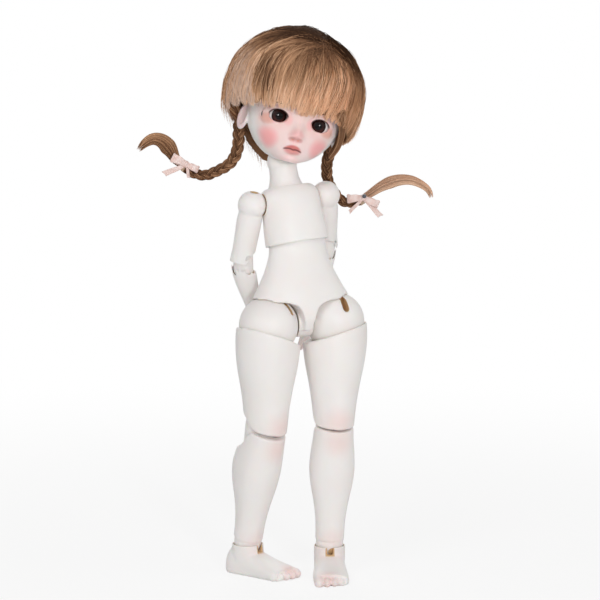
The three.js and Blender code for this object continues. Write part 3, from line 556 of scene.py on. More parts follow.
headStations = [
    [0.7, 6, 20.2, 6], [3, 11, 22.2, 11], [6.2, 15.3, 23, 15.5], [9.8, 18.4, 23.4, 19.5],
    [14.2, 21.2, 23.8, 22.3], [20, 23.1, 23.7, 24.2], [29, 24.4, 24.6, 25.8], [39, 24.3, 24.5, 25.9],
    [47.5, 21.6, 22, 23.2], [54, 16.2, 16.8, 17.6], [58, 10, 10.5, 11], [60, 3, 3, 3],
]
face = {
    "wall": 2.6, "mouth": 7.2, "mouthBow": 0.036, "lipHalf": 4.7,
    "lidBall": 8.0, "eyeHalfWidth": 4.3, "eyeHalfHeight": 2.95,
    # The cut under the jaw, as (y, z)
    "underside": [[-60, -40], [60, -40], [60, 12], [8, 3], [-6, 0.6], [-15, -1.4], [-60, -1.4]],
    # Features as (x, z, reach across, reach up, reach down, height); x is mirrored
    "features": [
        (0, 13.9, 2.5, 4.4, 1.5, 3.9), (0, 18, 2.4, 5, 4, 0.5), (2.5, 13.1, 1.3, 1.3, 1.0, 1.4),
        (1.3, 11.7, 0.75, 0.5, 0.5, -1.0), (0, 10.3, 0.9, 1.1, 0.8, -0.5),
        (1.6, 8.7, 1.9, 1.1, 1.0, 1.15), (0, 5.7, 2.9, 1.3, 1.4, 1.7), (0, 3.6, 4.0, 1.0, 1.0, -1.0),
        (4.9, 6.4, 1.1, 1.2, 1.2, -0.6), (0, 1.6, 4.6, 1.8, 2.4, 0.9), (11.5, 10.2, 6.0, 5.2, 4.6, 1.3),
        (9.6, 21, 6.4, 4.4, 4.6, -1.3), (9.5, 27.5, 8, 3, 3, 0.35),
    ],
    # Airbrushed spots as (x, z, reach across, reach up, strength, paint); x is mirrored. The spot under the
    # nose tip is painted shade, and the flush about the eyes is partly painted shade of the fringe
    "spots": [
        # The second spot here is painted shade under the nose
        (0.0, 13.6, 4.4, 4.4, 0.5, "cheek"), (1.6, 11.7, 2.6, 1.5, 0.75, "rim"),
        # The flush spot about the eyes and forehead is partly painted shade of the fringe
        (13.2, 9.5, 6.6, 6.8, 0.9, "cheek"), (10.6, 19.5, 9.5, 8.0, 0.35, "flushAndFringeShade"),
        (15.2, 18.8, 4.6, 3.4, 0.55, "lid"), (5.6, 20.2, 2.8, 3.6, 0.45, "cheek"),
        (0.0, 1.6, 7.0, 3.6, 0.25, "cheek"),
    ],
    "paint": {
        "flushAndFringeShade": (0.94, 0.56, 0.53), "cheek": (0.97, 0.42, 0.42), "lid": (0.78, 0.28, 0.17),
        # parting is painted shade for the groove between the lips
        "lip": (0.70, 0.17, 0.155), "parting": (0.16, 0.035, 0.035), "lash": (0.03, 0.014, 0.011),
        # ear is blush deepened by painted shade inside the ears
        "rim": (0.66, 0.32, 0.30), "ear": (0.80, 0.52, 0.51),
    },
}


def mouthLine(x):
    # The parting of the lips, with the upper lip's point in its middle
    return face["mouth"] - face["mouthBow"] * x ** 2 - 0.35 * np.exp(-(x / 1.1) ** 2)


def faceRelief(x, z):
    # Sum of two-sided Gaussian swells, less a narrow groove along the parting of the lips
    relief = np.zeros_like(x)
    across = np.abs(x)
    for centre, height, reach, up, down, amount in face["features"]:
        spread = np.where(z > height, up, down)
        relief += amount * np.exp(-((across - centre) / reach) ** 2 - ((z - height) / spread) ** 2)
    groove = np.exp(-((z - mouthLine(x)) / 0.42) ** 2) * np.clip(1 - (across / face["lipHalf"]) ** 4, 0, 1)
    return relief - 0.85 * groove


def headGrid(grow=0.0, lowest=-1, rings=150, around=220, features=True):
    # The head's loft, with the features and lids pushed out of it. The cosine added to the angle spreads the
    # points wider in front than behind.
    stations = grownHead(grow, lowest)
    z, halfWidth, front, back = smoothRows(stations, rings).T[..., None]
    even = np.linspace(0, 2 * np.pi, around, endpoint=False)
    angle = even + 0.45 * np.cos(even)
    c, s = np.cos(angle), np.sin(angle)
    x, y, z = halfWidth * c, s * np.where(s < 0, front, back), z + 0 * c
    if features:
        frontal = np.clip(-s * 1.6, 0, 1)
        y = y - frontal * faceRelief(x, z)
        off = (np.abs(x) - eye["x"]) ** 2 + (z - eye["z"]) ** 2
        lid = eye["y"] - np.sqrt(np.clip(face["lidBall"] ** 2 - off, 0, None))
        # A soft meeting of lid and face: the further forward wins, blended over about a millimetre
        blend = np.clip(0.5 + (y - lid) / 1.2, 0, 1)
        lidded = y + (lid - y) * blend - 0.3 * blend * (1 - blend)
        y = np.where((off < face["lidBall"] ** 2 * 0.86) & (s < 0), lidded, y)
    return np.stack([x, y, z], -1)


def grownHead(by, lowest):
    # The head's sections grown by a distance, from the lowest height that is kept
    return [[z + max(0, by * (z - 32) / 28), halfWidth + by, front + by, back + by]
            for z, halfWidth, front, back in headStations if z >= lowest]


def headInside():
    return tubeMesh("inside", headGrid(-face["wall"], 9, 60, 80, False))


def eyeOutline(side, count=48):
    # A rounded opening, drawn down a little at its outer corner
    angle = np.linspace(0, 2 * np.pi, count, endpoint=False)
    c, s = np.cos(angle), np.sin(angle)
    outer = np.clip(c, 0, 1)
    across = face["eyeHalfWidth"] * c
    up = face["eyeHalfHeight"] * s * (1 - 0.22 * outer ** 2)
    return np.stack([side * (eye["x"] + across), eye["z"] + up - 0.5 * outer ** 3], -1)


def aboveCapSeam(raised):
    # Everything above the seam of the head cap, which slopes down to the back
    return prism([[-60, 45.5 + raised], [60, 33.5 + raised], [60, 120], [-60, 120]], -60, 60, "x")


def earSolids(side):
    # A flared shell: a tilted disc with its bowl cut away, kept thick along the rim
    x, y, z = ear
    outer = ball(1, (0, 0, 0), (2.0, 4.4, 6.5))
    bowl = ball(1, (1.3, -1.1, 0.8), (1.5, 3.0, 4.7))
    tilt = movedTo(side * (x - 0.4), y, z - 0.8) @ axisTurn("z", side * -21) @ axisTurn("x", 8)
    if side < 0:
        tilt = tilt @ np.diag([-1, 1, 1, 1])
    for mesh in (outer, bowl):
        moveMesh(mesh, tilt)
        if side < 0:
            mesh.flip_normals()
    return join(outer) + cut(bowl)


def faceMaterial():
    # Airbrushed face: pink over the whole, cheeks, nose tip, lids and lips, with fine painted lines; painted
    # shade under the nose, in the nostrils, along the lips' parting and in the ears, and partly under the
    # fringe
    matrix = place["head"]
    shader, colour, roughness, bump = resinShader("faceResin", matrix, [("socket", (0, 0, 0), 8.3)])
    x, y, z = shader.local(matrix)
    across = x.math("ABSOLUTE")
    front = y.step(-8.0, -17.0)
    # Pink on the ears: airbrush blush, deepened as painted shade inside them
    earBlushAndShade = across.step(ear[0] - 2.5, ear[0] - 0.5) * z.step(9.0, 12.0) * z.step(27.0, 24.0)
    # Pink flush over the front, deeper on the upper face, where it is partly painted shade of the fringe
    layers = [(earBlushAndShade * 0.6, "ear"), (front * (z.step(0.0, 14.0) * 0.2 + 0.34), "flushAndFringeShade")]
    for centreX, centreZ, reachX, reachZ, strength, tone in face["spots"]:
        # 1 in the middle and 0 past the reach, over an ellipse
        far = ((across - centreX) / reachX) ** 2 + ((z - centreZ) / reachZ) ** 2
        layers.append((far.step(1.0, 0.0) * front * strength, tone))
    # The lids: out is the distance from the opening's middle in its own half sizes
    u, w = (across - eye["x"]) / face["eyeHalfWidth"], (z - eye["z"]) / face["eyeHalfHeight"]
    out = (u ** 2 + w ** 2) ** 0.5
    rim = out.step(0.80, 0.98) * out.step(1.24, 1.04) * front
    lash = out.step(0.86, 0.98) * out.step(1.19, 1.08) * w.step(-0.2, 0.3) * front
    crease = out.step(1.36, 1.50) * out.step(1.66, 1.52) * w.step(0.5, 0.9) * front
    layers += [(rim * 0.65, "rim"), (lash * 0.94, "lash"), (crease * 0.22, "lid")]
    # The lips: an ellipse about the mouth, fading outwards, the upper lip darker, and the parting painted
    # dark as the shade in its groove
    middle = z - face["mouth"] + across ** 2 * face["mouthBow"]
    lower = middle.step(0.1, -0.1)
    lips = ((across / 5.0) ** 2 + (middle / (lower * 1.1 + 2.3)) ** 2).step(1.0, 0.3) * front
    dip = ((across / 1.1) ** 2 * -1.0).math("EXPONENT") * -0.35
    line = (middle - dip).math("ABSOLUTE")
    # The dark parting is painted shade in the lips' groove
    parting = line.step(0.62, 0.12) * across.step(5.0, 3.8) * front
    # Painted nostrils, darkened as the shade inside them
    nostrilShade = (((across - 1.35) / 0.8) ** 2 + ((z - 11.6) / 0.5) ** 2).step(1.0, 0.2) * front
    layers += [(lips * (0.92 - lower * 0.2), "lip"), (parting * 0.88, "parting"), (nostrilShade * 0.6, "lid")]
    for mask, tone in layers:
        colour = shader.mix(mask, colour, face["paint"][tone])
    return shader.wear(Base_Color=colour, Roughness=roughness, Normal=bump)


def makeHead():
    steps = [*earSolids(1), *earSolids(-1), *cut(headInside())]
    for side in sides.values():
        steps += cut(ball(eye["ball"] + eye["gap"], (side * eye["x"], eye["y"], eye["z"])),
                     prism(eyeOutline(side), -30, -14, "y"))
    steps += cut(prism(face["underside"], -60, 60, "x"), ball(neck["top"] + neck["gap"]),
                 rod(cord["channel"], (0, 0, 0), (0, 0, 14)), aboveCapSeam(0))
    mesh = carve(tubeMesh("face", headGrid()), steps, voxel=0.45)
    addToHead("face_shell", mesh, faceMaterial(), "head_shell")
    steps = [*cut(headInside()), ("keep", aboveCapSeam(0.3))]
    cap = carve(tubeMesh("crown", headGrid(features=False)), steps, voxel=1.0)
    addToHead("skull_cap", cap, resin("capResin", place["head"]), "head_cap")
    print("head made")


eyeLook = {
    "iris": 3.85, "pupil": 1.8, "coat": 0.34,
    "white": (0.84, 0.78, 0.77), "ring": (0.004, 0.002, 0.002), "brown": (0.022, 0.007, 0.006),
    "light": (0.075, 0.020, 0.016), "gaze": {"left": (-0.12, -0.99, -0.01), "right": (0.08, -0.995, 0.01)},
}


def makeEyes():
    # A glossy painted ball about the line of sight: white, a dark ringed iris with fine spokes, and the pupil
    iris, pupil = eyeLook["iris"], eyeLook["pupil"]
    for name, side in sides.items():
        centre = np.array([side * eye["x"], eye["y"], eye["z"]])
        front = centre + eye["ball"] * unit(np.array(eyeLook["gaze"][name]))
        shader = Shader("eye_" + name, {"Specular IOR Level": 0.0, "Coat Weight": eyeLook["coat"],
                                        "Coat Roughness": 0.02})
        far = shader.distance(worldPoint(place["head"], front))
        x, y, z = shader.local(place["head"])
        spokes = shader.noise(1500.0, 3.0)
        low = (z - float(front[2])).step(0.5, -2.6) * far.step(pupil, pupil + 0.6)
        colour = shader.mix(low * (0.35 + 0.65 * spokes), eyeLook["brown"], eyeLook["light"])
        colour = shader.mix(far.step(iris - 0.9, iris - 0.15), colour, eyeLook["ring"])
        colour = shader.mix(far.step(pupil + 0.15, pupil - 0.15), colour, eyeLook["ring"])
        colour = shader.mix(far.step(iris + 0.12, iris - 0.12), eyeLook["white"], colour)
        material = shader.wear(Base_Color=colour, Roughness=0.08 + 0.05 * spokes)
        mesh = ball(eye["ball"], centre, around=96)
        addToHead(f"eyeball_{name}", mesh, material, f"eye_{name}")
    print("eyes made")


# Arms. Stations are height, half width, depth in front and depth behind.


def upTo(line, far):
    # The outline of everything beyond a joint's parting line, given as (y, z) points
    return [*line, [line[-1][0], far], [line[0][0], far]]


def roundedEnd(past, least=0.02):
    # 1 before the end and then down a quarter circle, where past runs from 0 to 1 over the end
    return np.sqrt(np.clip(1 - np.clip(past, 0, 1) ** 2, least, 1))


arms = {
    "parting": smoothRows([[-20, 7], [-4.6, 6.4], [0, 1.5], [2, 0.25], [20, 0.25]], 33),
    "upper": [[-2, 5.4, 5.6, 5.6], [-8, 6, 6.2, 6.2], [-15, 5.8, 6, 6], [-23, 5.6, 5.8, 5.8],
              [-31, 6.2, 6.2, 6.2]],
    "lower": [[2, 5.4, 5.5, 5.5], [-6, 5.7, 5.7, 5.8], [-13, 5.2, 5.2, 5.3], [-21, 4.3, 4.3, 4.3],
              [-28.6, 3.6, 3.6, 3.6]],
    "palm": [[-0.7, 4.3, 4.4, 4.4], [-3.4, 3.7, 4.4, 4.4], [-6.5, 3, 4.9, 4.9], [-10, 2.6, 5.2, 5.2],
             [-13.4, 2.2, 4.9, 4.9], [-15, 1.3, 3.6, 3.6]],
    # Fingers as (y, radius, reach), from the index finger back
    "fingers": [(-3.7, 1.3, 9.5), (-1.3, 1.35, 10.8), (1.2, 1.3, 10.2), (3.5, 1.15, 8.6)],
    "cordHole": {"left": (1, 1), "right": (9, 12)},  # how high the channel is cut, and painted with shade
}


def capsule(radius, half, channel):
    # Two balls joined by a rod, drilled for the cord
    steps = join(ball(radius, (0, 0, -2 * half)), rod(radius, (0, 0, 0), (0, 0, -2 * half), 64))
    steps += cut(rod(channel, (0, 0, radius + 2), (0, 0, -2 * half - radius - 2)))
    return carve(ball(radius), steps, voxel=0.5)


def handMesh(side):
    inward = -side
    steps = []
    along = np.linspace(0, 1, 30)
    for y, radius, reach in arms["fingers"]:
        route = [[0, y, -10], [inward * 0.3, y, -13 - reach * 0.4], [inward * 1.5, y * 0.96, -13 - reach]]
        knuckles = 1 + 0.07 * np.cos(along * 4 * np.pi) - 0.12 * along
        radii = radius * knuckles * roundedEnd((along - 0.88) / 0.125)
        steps += join(tubeMesh("finger", sweepGrid(smoothRows(route, 30), radii, 20, (0, 1, 0))))
    along = np.linspace(0, 1, 24)
    route = [[inward * 0.6, -3.4, -5], [inward * 1.4, -6, -9], [inward * 1.8, -7, -13.4]]
    radii = (1.6 - 0.3 * along) * roundedEnd((along - 0.82) / 0.185)
    steps += join(tubeMesh("thumb", sweepGrid(smoothRows(route, 24), radii, 20, (1, 0, 0))))
    steps += cut(ball(wrist["ball"] + wrist["gap"]), rod(1.3, (0, 0, 0), (0, 0, -7.6)))
    return carve(loft(arms["palm"]), steps, voxel=0.33)


def makeArms():
    socket, channel, half = elbow["ball"] + elbow["gap"], cord["armChannel"], elbow["half"]
    for name, side in sides.items():
        spot = place[name]
        top = half - length["upperArm"]
        # The second number is how high the cord channel's painted shade reaches
        hole, shadeTop = arms["cordHole"][name]
        beyond = upTo(arms["parting"] - [0, length["upperArm"]], -90)
        steps = join(ball(shoulder["ball"]))
        steps += cut(prism(beyond, -30, 30, "x"), ball(socket, (0, 0, top)),
                     rod(socket, (0, 0, top), (0, 0, top - 12)), rod(channel, (0, 0, hole), (0, 0, -30)))
        shadedHollows = [("slot", (0, 0, 0), socket - 0.1, top - 20, top + 3),
                   ("slot", (0, 0, 0), channel + 0.2, -30, shadeTop)]
        addResin(f"arm_upper_{name}", f"upperArmResin_{name}", f"upper_arm_{name}",
                 carve(loft(arms["upper"]), steps, voxel=0.52), spot["arm"], shadedHollows)

        addResin(f"elbow_piece_{name}", f"elbowResin_{name}", f"elbow_joint_{name}",
                 capsule(elbow["ball"], half, channel), spot["elbow"],
                 [("slot", (0, 0, 0), channel + 0.2, -30, 12)])

        steps = cut(prism(upTo(arms["parting"] * [1, -1], 90), -30, 30, "x"), ball(socket, (0, 0, -half)),
                    rod(socket, (0, 0, -half), (0, 0, 9)))
        steps += join(ball(wrist["ball"], (0, 0, -length["forearm"])))
        steps += cut(rod(1.6, (0, 0, -2), (0, 0, -length["forearm"] - 6)))
        addResin(f"arm_lower_{name}", f"forearmResin_{name}", f"forearm_{name}",
                 carve(loft(arms["lower"]), steps, voxel=0.52), spot["forearm"],
                 [("slot", (0, 0, 0), socket - 0.1, -half - 3, 9)])

        shadedHollows = [("socket", (0, 0, 0), wrist["ball"] + wrist["gap"] + 0.2)]
        addResin(f"palm_{name}", f"handResin_{name}", f"hand_{name}", handMesh(side), spot["hand"], shadedHollows,
                 [((0, 0, -20), 9, 0.35)])
    print("arms made")


# Legs. Stations are height, half width, depth in front and depth behind.

legs = {
    "thighParting": smoothRows([[-20, -1.7], [-4, 2.3], [0, 4.4], [5, 9.2], [11, 12], [20, 13]], 41),
    "shinParting": smoothRows([[-20, -1.5], [-3, 2.0], [2, 1.4], [7, -6], [11, -9], [20, -10]], 41),
    "thigh": [
        [4, 15.2, 15.2, 15.2], [-4, 15.9, 15.8, 15.9], [-12, 15.8, 15.6, 15.9], [-21, 14.6, 14.7, 15.1],
        [-31, 12.6, 13, 13.3], [-40, 11.1, 11.9, 12.1], [-49, 10.1, 11.3, 11.9], [-57, 9.7, 10.4, 12],
    ],
    "thighRim": [[-20, -12.6], [20, 1.7], [20, 40], [-20, 40]],
    "shin": [
        [4, 9.6, 10.2, 12], [-3, 9.9, 10.3, 12.8], [-10, 10.6, 10.2, 15], [-18, 11.1, 9.8, 16.2],
        [-26, 10.4, 9.1, 14.8], [-35, 8.7, 7.9, 11.4], [-44, 7.4, 7.2, 8.9], [-54, 7.1, 7.1, 7.6],
    ],
    # The foot's sections from the heel to the roots of the toes: forward, half width, below, above
    "foot": [
        [-11, 3.4, 4, 4.5], [-9, 6, 5, 8.5], [-5, 7.4, 5, 12], [1, 7.6, 5, 11.6], [8, 8, 5, 7.8],
        [15, 8.6, 5, 5], [20, 8.7, 5, 3.6], [24, 8, 4.6, 2.6],
    ],
    "footTop": [[-1, 7.7, 7.7, 7.9], [-5, 7.7, 8.2, 8.3], [-9.5, 7.5, 9.5, 9], [-12, 6, 8, 8]],
    # Toes as (x, y, half width, reach, rise), from the big toe out
    "toes": [(5.7, -24.4, 2.6, 3.9, 2.9), (1.9, -25, 1.9, 3.4, 2.4), (-1.7, -24.2, 1.8, 3.2, 2.3),
             (-5, -22.8, 1.7, 3, 2.2), (-7.4, -20.8, 1.6, 2.8, 2.1)],
    "slot": {"low": 6, "high": 10.6, "half": 1.6},
}


def slotCutter(yaw):
    # The elastic's slot in the hip ball: a round-ended upright slit, pushed in from the front
    slot = legs["slot"]
    arc = np.linspace(0, np.pi, 12)
    bend = slot["half"] * np.stack([np.cos(arc), np.sin(arc)], -1)
    mesh = prism(np.concatenate([bend + [0, slot["high"]], [0, slot["low"]] - bend]), -17, -5, "y")
    mesh.transform(Matrix(axisTurn("z", yaw).tolist()))
    return mesh


def footMesh(side):
    sole = -ankle["height"]
    grid = loftGrid(legs["foot"], power=2.4)
    grid = np.stack([grid[..., 0], -grid[..., 2], grid[..., 1] + sole + 3], -1)
    steps = join(loft(legs["footTop"]))
    for x, y, width, reach, rise in legs["toes"]:
        steps += join(ball(1, (-side * x, y, sole + 1.9), (width, reach, rise), 32))
    for x, y, width, reach, rise in legs["toes"]:
        nail = (-side * x, y - reach * 0.62, sole + 1.9 + rise * 1.02)
        steps += cut(ball(1, nail, (width * 0.55, reach * 0.3, 0.55), 20))
    steps += cut(block((-20, -40, sole - 10), (20, 20, sole)), ball(ankle["ball"] + ankle["gap"]),
                 block((-1.4, -12, -4.6), (1.4, -5, 2)), rod(1.6, (0, 0, 0), (0, 0, -11.5)))
    return carve(tubeMesh("foot", grid), steps, voxel=0.4)


def makeLegs():
    socket, channel, half, back = knee["ball"] + knee["gap"], cord["channel"], knee["half"], knee["back"]
    cup = hip["ball"] + hip["seam"]
    for name, side in sides.items():
        spot = place[name]
        steps = cut(slotCutter(pose[name]["slotYaw"]), rod(channel, (0, 0, 18), (0, 0, -18)))
        addResin(f"hip_joint_{name}", f"hipResin_{name}", f"hip_ball_{name}",
                 carve(ball(hip["ball"], around=128), steps, voxel=0.6), spot["hip"],
                 [("slot", (0, 0, 0), hip["ball"] - 0.5)])

        top = half - length["thigh"]
        beyond = upTo(legs["thighParting"] - [0, length["thigh"]], -120)
        steps = cut(prism(bySide(side, legs["thighRim"]), -30, 30, "y"), ball(cup, around=96),
                    rod(hip["septum"] + hip["septumGap"], (0, 0, 0), (-side * 20, 0, 0)),
                    prism(beyond, -30, 30, "x"), ball(socket, (0, back, top)),
                    rod(socket, (0, back, top), (0, back, top - 16)), rod(channel, (0, 0, 0), (0, back, top)))
        shadedHollows = [("socket", (0, 0, 0), cup + 0.25),
                   ("socket", (0, back, 0), socket + 0.15, top - 30, top + 4)]
        addResin(f"leg_upper_{name}", f"thighResin_{name}", f"thigh_{name}",
                 carve(loft(legs["thigh"], around=128), steps), spot["thigh"], shadedHollows,
                 [((0, -11, -length["thigh"] + 4), 12, 0.35)])

        addResin(f"knee_piece_{name}", f"kneeResin_{name}", f"knee_joint_{name}",
                 capsule(knee["ball"], half, channel), spot["knee"],
                 [("slot", (0, 0, 0), channel + 0.2, -30, 12)])

        steps = cut(prism(upTo(legs["shinParting"], 90), -30, 30, "x"), ball(socket, (0, back, -half)),
                    rod(socket, (0, back, -half), (0, back, 16)))
        steps += join(ball(ankle["ball"], (0, 0, -length["shin"])))
        steps += cut(rod(channel, (0, back, -half), (0, 0, -length["shin"] - 9)))
        shadedHollows = [("socket", (0, back, 0), socket + 0.15, -half - 4, 9),
                   ("slot", (0, -5.9, -length["shin"] - 3.4), 2.1)]
        blushes = [((0, -11, -4), 11, 0.35), ((0, -4, -length["shin"] + 3), 9, 0.3)]
        addResin(f"leg_lower_{name}", f"shinResin_{name}", f"shin_{name}",
                 carve(loft(legs["shin"], around=112), steps, voxel=0.58), spot["shin"], shadedHollows, blushes)

        shadedHollows = [("socket", (0, 0, 0), ankle["ball"] + ankle["gap"] + 0.3),
                   ("slot", (0, -8.2, 0), 2.3, -5.2, 1.5)]
        blushes = [((side * -2, -25, -14), 9, 0.5), ((0, -4, -3), 11, 0.3), ((0, 10, -12), 8, 0.3)]
        addResin(f"sole_{name}", f"footResin_{name}", f"foot_{name}", footMesh(side), spot["foot"], shadedHollows,
                 blushes)
    print("legs made")


# Wig. Strands leave the crown and follow the hair's outer surface to the hemline or to a braid's root.

hairStations = [
    [-2, 17, 10, 18], [3, 22.5, 12, 23], [9, 27.5, 14, 27], [15, 32, 21, 30.8], [22, 35, 26, 33.4],
    [32, 36.4, 30, 34.4], [43, 35, 30.6, 33.4], [52, 30.2, 27.4, 29.4], [60, 21.6, 20.4, 21.6],
    [65.6, 8, 8, 8],
]
braidRoutes = {
    "left": [[27, 10, 23.5], [26, 12, 17.5], [25, 15.5, 11.5], [25.5, 20, 5], [28.5, 23, -3],
             [33.5, 23, -8.5], [38, 22, -11.5], [42.5, 20, -11.5], [46.5, 18.5, -9]],
    "right": [[-23.5, 14.5, 14.5], [-22.5, 13, 8.5], [-21.5, 12, 2.5], [-21.5, 13, -3], [-23.5, 14, -8],
              [-28, 15.5, -12.5], [-33, 17, -16], [-39, 18, -16.5], [-44, 19, -14.5]],
}
tailRoutes = {
    "left": [[50, 17.5, -5], [55, 16.5, 0.5], [61, 14.5, 5], [67, 12.5, 7], [72.5, 10.5, 6.5],
             [77, 8.5, 4.5], [79.5, 8, 1]],
    "right": [[-49, 20.5, -12], [-53, 21, -8], [-57.5, 22, -5], [-62, 23, -5], [-65.5, 23.5, -8],
              [-68, 23.5, -12.5]],
}
wig = {
    "crown": (4.0, -18, 55), "middle": (0, 0, 30), "top": 66.2, "shift": -2.2, "thinner": 3.0, "strand": 0.2,
    # The hemline: degrees about the head's axis, where -90 is the front, and the height where the hair ends
    "hemline": [
        (-180, 18.5), (-165, 21), (-150, 22), (-140, 23), (-130, 23.6), (-120, 24.4), (-108, 25.4),
        (-99, 25), (-90, 23.8), (-75, 24.2), (-60, 25), (-45, 24.8), (-32, 23.5), (-22, 20.5), (-10, 18),
        (10, 16.5), (25, 15), (45, 7), (70, 0), (90, -3), (105, -3), (127, 3), (138, 9), (150, 13.5),
        (165, 16), (180, 18.5),
    ],
    # Where the under layer stays clear of the face, the ears and the neck: from x, up to y and z
    "clear": [(-60, -8, 25.2), (-60, 3, 26), (-30, 7, 23), (-60, 11, 17), (-60, 14.5, 9)],
    "dark": (0, -14, 62),  # the crown's shade is darkest here
    "stops": [(0.0, (0.055, 0.024, 0.011)), (0.35, (0.24, 0.118, 0.060)), (0.65, (0.62, 0.35, 0.195)),
              (1.0, (0.97, 0.66, 0.45))],
    # The grey of the painted sheen
    "sheenGrey": (0.74, 0.60, 0.53),
    "under": {"narrower": 1.2, "shallower": 1.6, "tone": 0.30},
    "cap": {"outer": 1.3, "inner": 0.35, "edge": [[-60, 45], [60, 5], [60, -60], [-60, -60]],
            "dark": (0.16, 0.11, 0.08), "light": (0.27, 0.20, 0.15)},
}
# Locks of strands: from and to are angles at the hem, via is the range of angles that they pass on the way,
# and jag is how uneven the hem is. Strands start at begin, a part of the way from the crown. They stand off
# the surface by lift, and flip lifts the tips. wave and waves are the crimp in millimetres and its count.
# drop lowers the hem, thin scales a strand's radius, and the ends of a group with a braid sink into it.
lockDefaults = {"width": 5.0, "flip": 0, "wave": 0.3, "waves": 2, "steps": 12, "begin": 0.02, "lift": 0,
                "drop": 0, "thin": 1}
lockGroups = {
    # The fringe carries a painted shadow where it curls under: its angle, reach and depth
    "bangs": {"from": -148, "to": -36, "via": (-153, -32), "locks": 42, "strands": 34, "width": 7.5,
              "jag": 3.4, "flip": -1.3, "steps": 16, "tone": 1.08, "fringeShade": (-134, 17, 0.95)},
    "side_left": {"from": -42, "to": 36, "via": (-40, 40), "locks": 56, "strands": 20, "width": 5.5,
                  "jag": 3.6, "flip": 0.8, "waves": 3, "steps": 16, "tone": 0.54},
    # The right side's hair is greyed by a painted sheen
    "side_right": {"from": 140, "to": 220, "via": (128, 215), "locks": 42, "strands": 18, "width": 6.0,
                   "jag": 2.4, "flip": -0.6, "wave": 0.50, "waves": 7, "steps": 28, "tone": 0.80,
                   "paintedSheen": True},
    "inner_right": {"from": -176, "to": -136, "via": (-176, -142), "locks": 22, "strands": 24, "jag": 1.6,
                    "flip": -0.5, "tone": 0.52, "begin": 0.45, "lift": -7.2, "drop": -1.0},
    "behind_ear": {"from": 140, "to": 170, "via": (142, 172), "locks": 22, "strands": 22, "jag": 2.0,
                   "flip": -1.5, "steps": 13, "tone": 0.42, "begin": 0.45, "lift": -5.5, "drop": 4.0},
    "back_left": {"via": (8, 92), "locks": 64, "strands": 18, "width": 5.5, "waves": 3, "steps": 18,
                  "tone": 0.46, "braid": "left"},
    "back_right": {"via": (88, 178), "locks": 64, "strands": 18, "width": 5.5, "waves": 3, "steps": 18,
                   "tone": 0.50, "braid": "right"},
    "nape": {"from": 38, "to": 142, "via": (50, 130), "locks": 48, "strands": 14, "jag": 4.0, "flip": -2.5,
             "wave": 0.25, "steps": 13, "tone": 0.36, "begin": 0.5, "lift": -1.0},
    "nape_inner": {"from": 26, "to": 154, "via": (40, 140), "locks": 52, "strands": 14, "jag": 4.5,
                   "flip": -2.0, "tone": 0.42, "begin": 0.55, "lift": -4.5},
    "nape_front": {"from": 96, "to": 152, "via": (98, 150), "locks": 36, "strands": 20, "width": 4.0,
                   "jag": 3.0, "flip": -1.0, "tone": 0.44, "begin": 0.6, "lift": -7.0},
    "stray": {"from": -180, "to": 180, "via": (-180, 180), "locks": 420, "strands": 1, "width": 6.0,
              "jag": 3.0, "flip": 1.4, "wave": 0.8, "steps": 14, "tone": 0.66, "begin": 0.25, "thin": 0.4,
              "lift": 0.6},
}


def hairMaterial(name, paintedSheen=0.0):
    # Mohair: each strand's own tone runs from dark to light brown, darker round the crown; away from the
    # crown, the last argument greys it as a painted sheen
    shader = Shader(name, {"Specular IOR Level": 0.12})
    tone = shader.node("Attribute", {"attribute_name": "tone"}, output=2)
    fromCrown = shader.distance(worldPoint(place["head"], wig["dark"]))
    cloud = shader.noise(90.0)
    tone = tone - fromCrown.step(42.0, 5.0) * 0.8 + (cloud - 0.5) * 0.25
    colour = shader.node("ValToRGB", {"stops": wig["stops"]}, [tone])
    # Painted sheen: a grey tint away from the crown
    colour = shader.mix(fromCrown.step(28.0, 46.0) * paintedSheen, colour, wig["sheenGrey"])
    return shader.wear(Base_Color=colour, Roughness=0.5 + 0.2 * cloud)


def hairWall(height, angle):
    # The surface's reach from the wig's middle line at a height, towards an angle; negative past the top
    rows = smoothRows([[wig["top"], 0, 0, 0], *hairStations[::-1]], 300)[::-1]
    halfWidth, front, back = (np.interp(height, rows[:, 0], rows[:, k]) for k in (1, 2, 3))
    c, s = np.cos(angle), np.sin(angle)
    halfWidth, depth = halfWidth - wig["thinner"], np.where(s < 0, front, back) - 0.5
    square = np.maximum(np.hypot(depth * c, halfWidth * s), 0.01)
    reach = np.clip(halfWidth, 0, None) * np.clip(depth, 0, None) / square
    return reach - np.clip(height - wig["top"], 0, None)


def hairPoints(rays, lift):
    # Where rays from the wig's middle leave the surface, found by halving, then lifted along the ray
    angle = np.arctan2(rays[..., 1], rays[..., 0])
    level = np.hypot(rays[..., 0], rays[..., 1])
    near, far = np.zeros(level.shape), np.full(level.shape, 60.0)
    for _ in range(22):
        reach = (near + far) / 2
        outside = reach * level > hairWall(wig["middle"][2] + reach * rays[..., 2], angle)
        near, far = np.where(outside, near, reach), np.where(outside, reach, far)
    return (near + lift)[..., None] * rays + np.array(wig["middle"]) + np.array([wig["shift"], 0, 0])


def rayTo(degrees, height):
    angle = np.radians(degrees)
    reach = hairWall(height, angle)
    rise = height - wig["middle"][2] + 0 * reach
    return unit(np.stack([reach * np.cos(angle), reach * np.sin(angle), rise], -1))


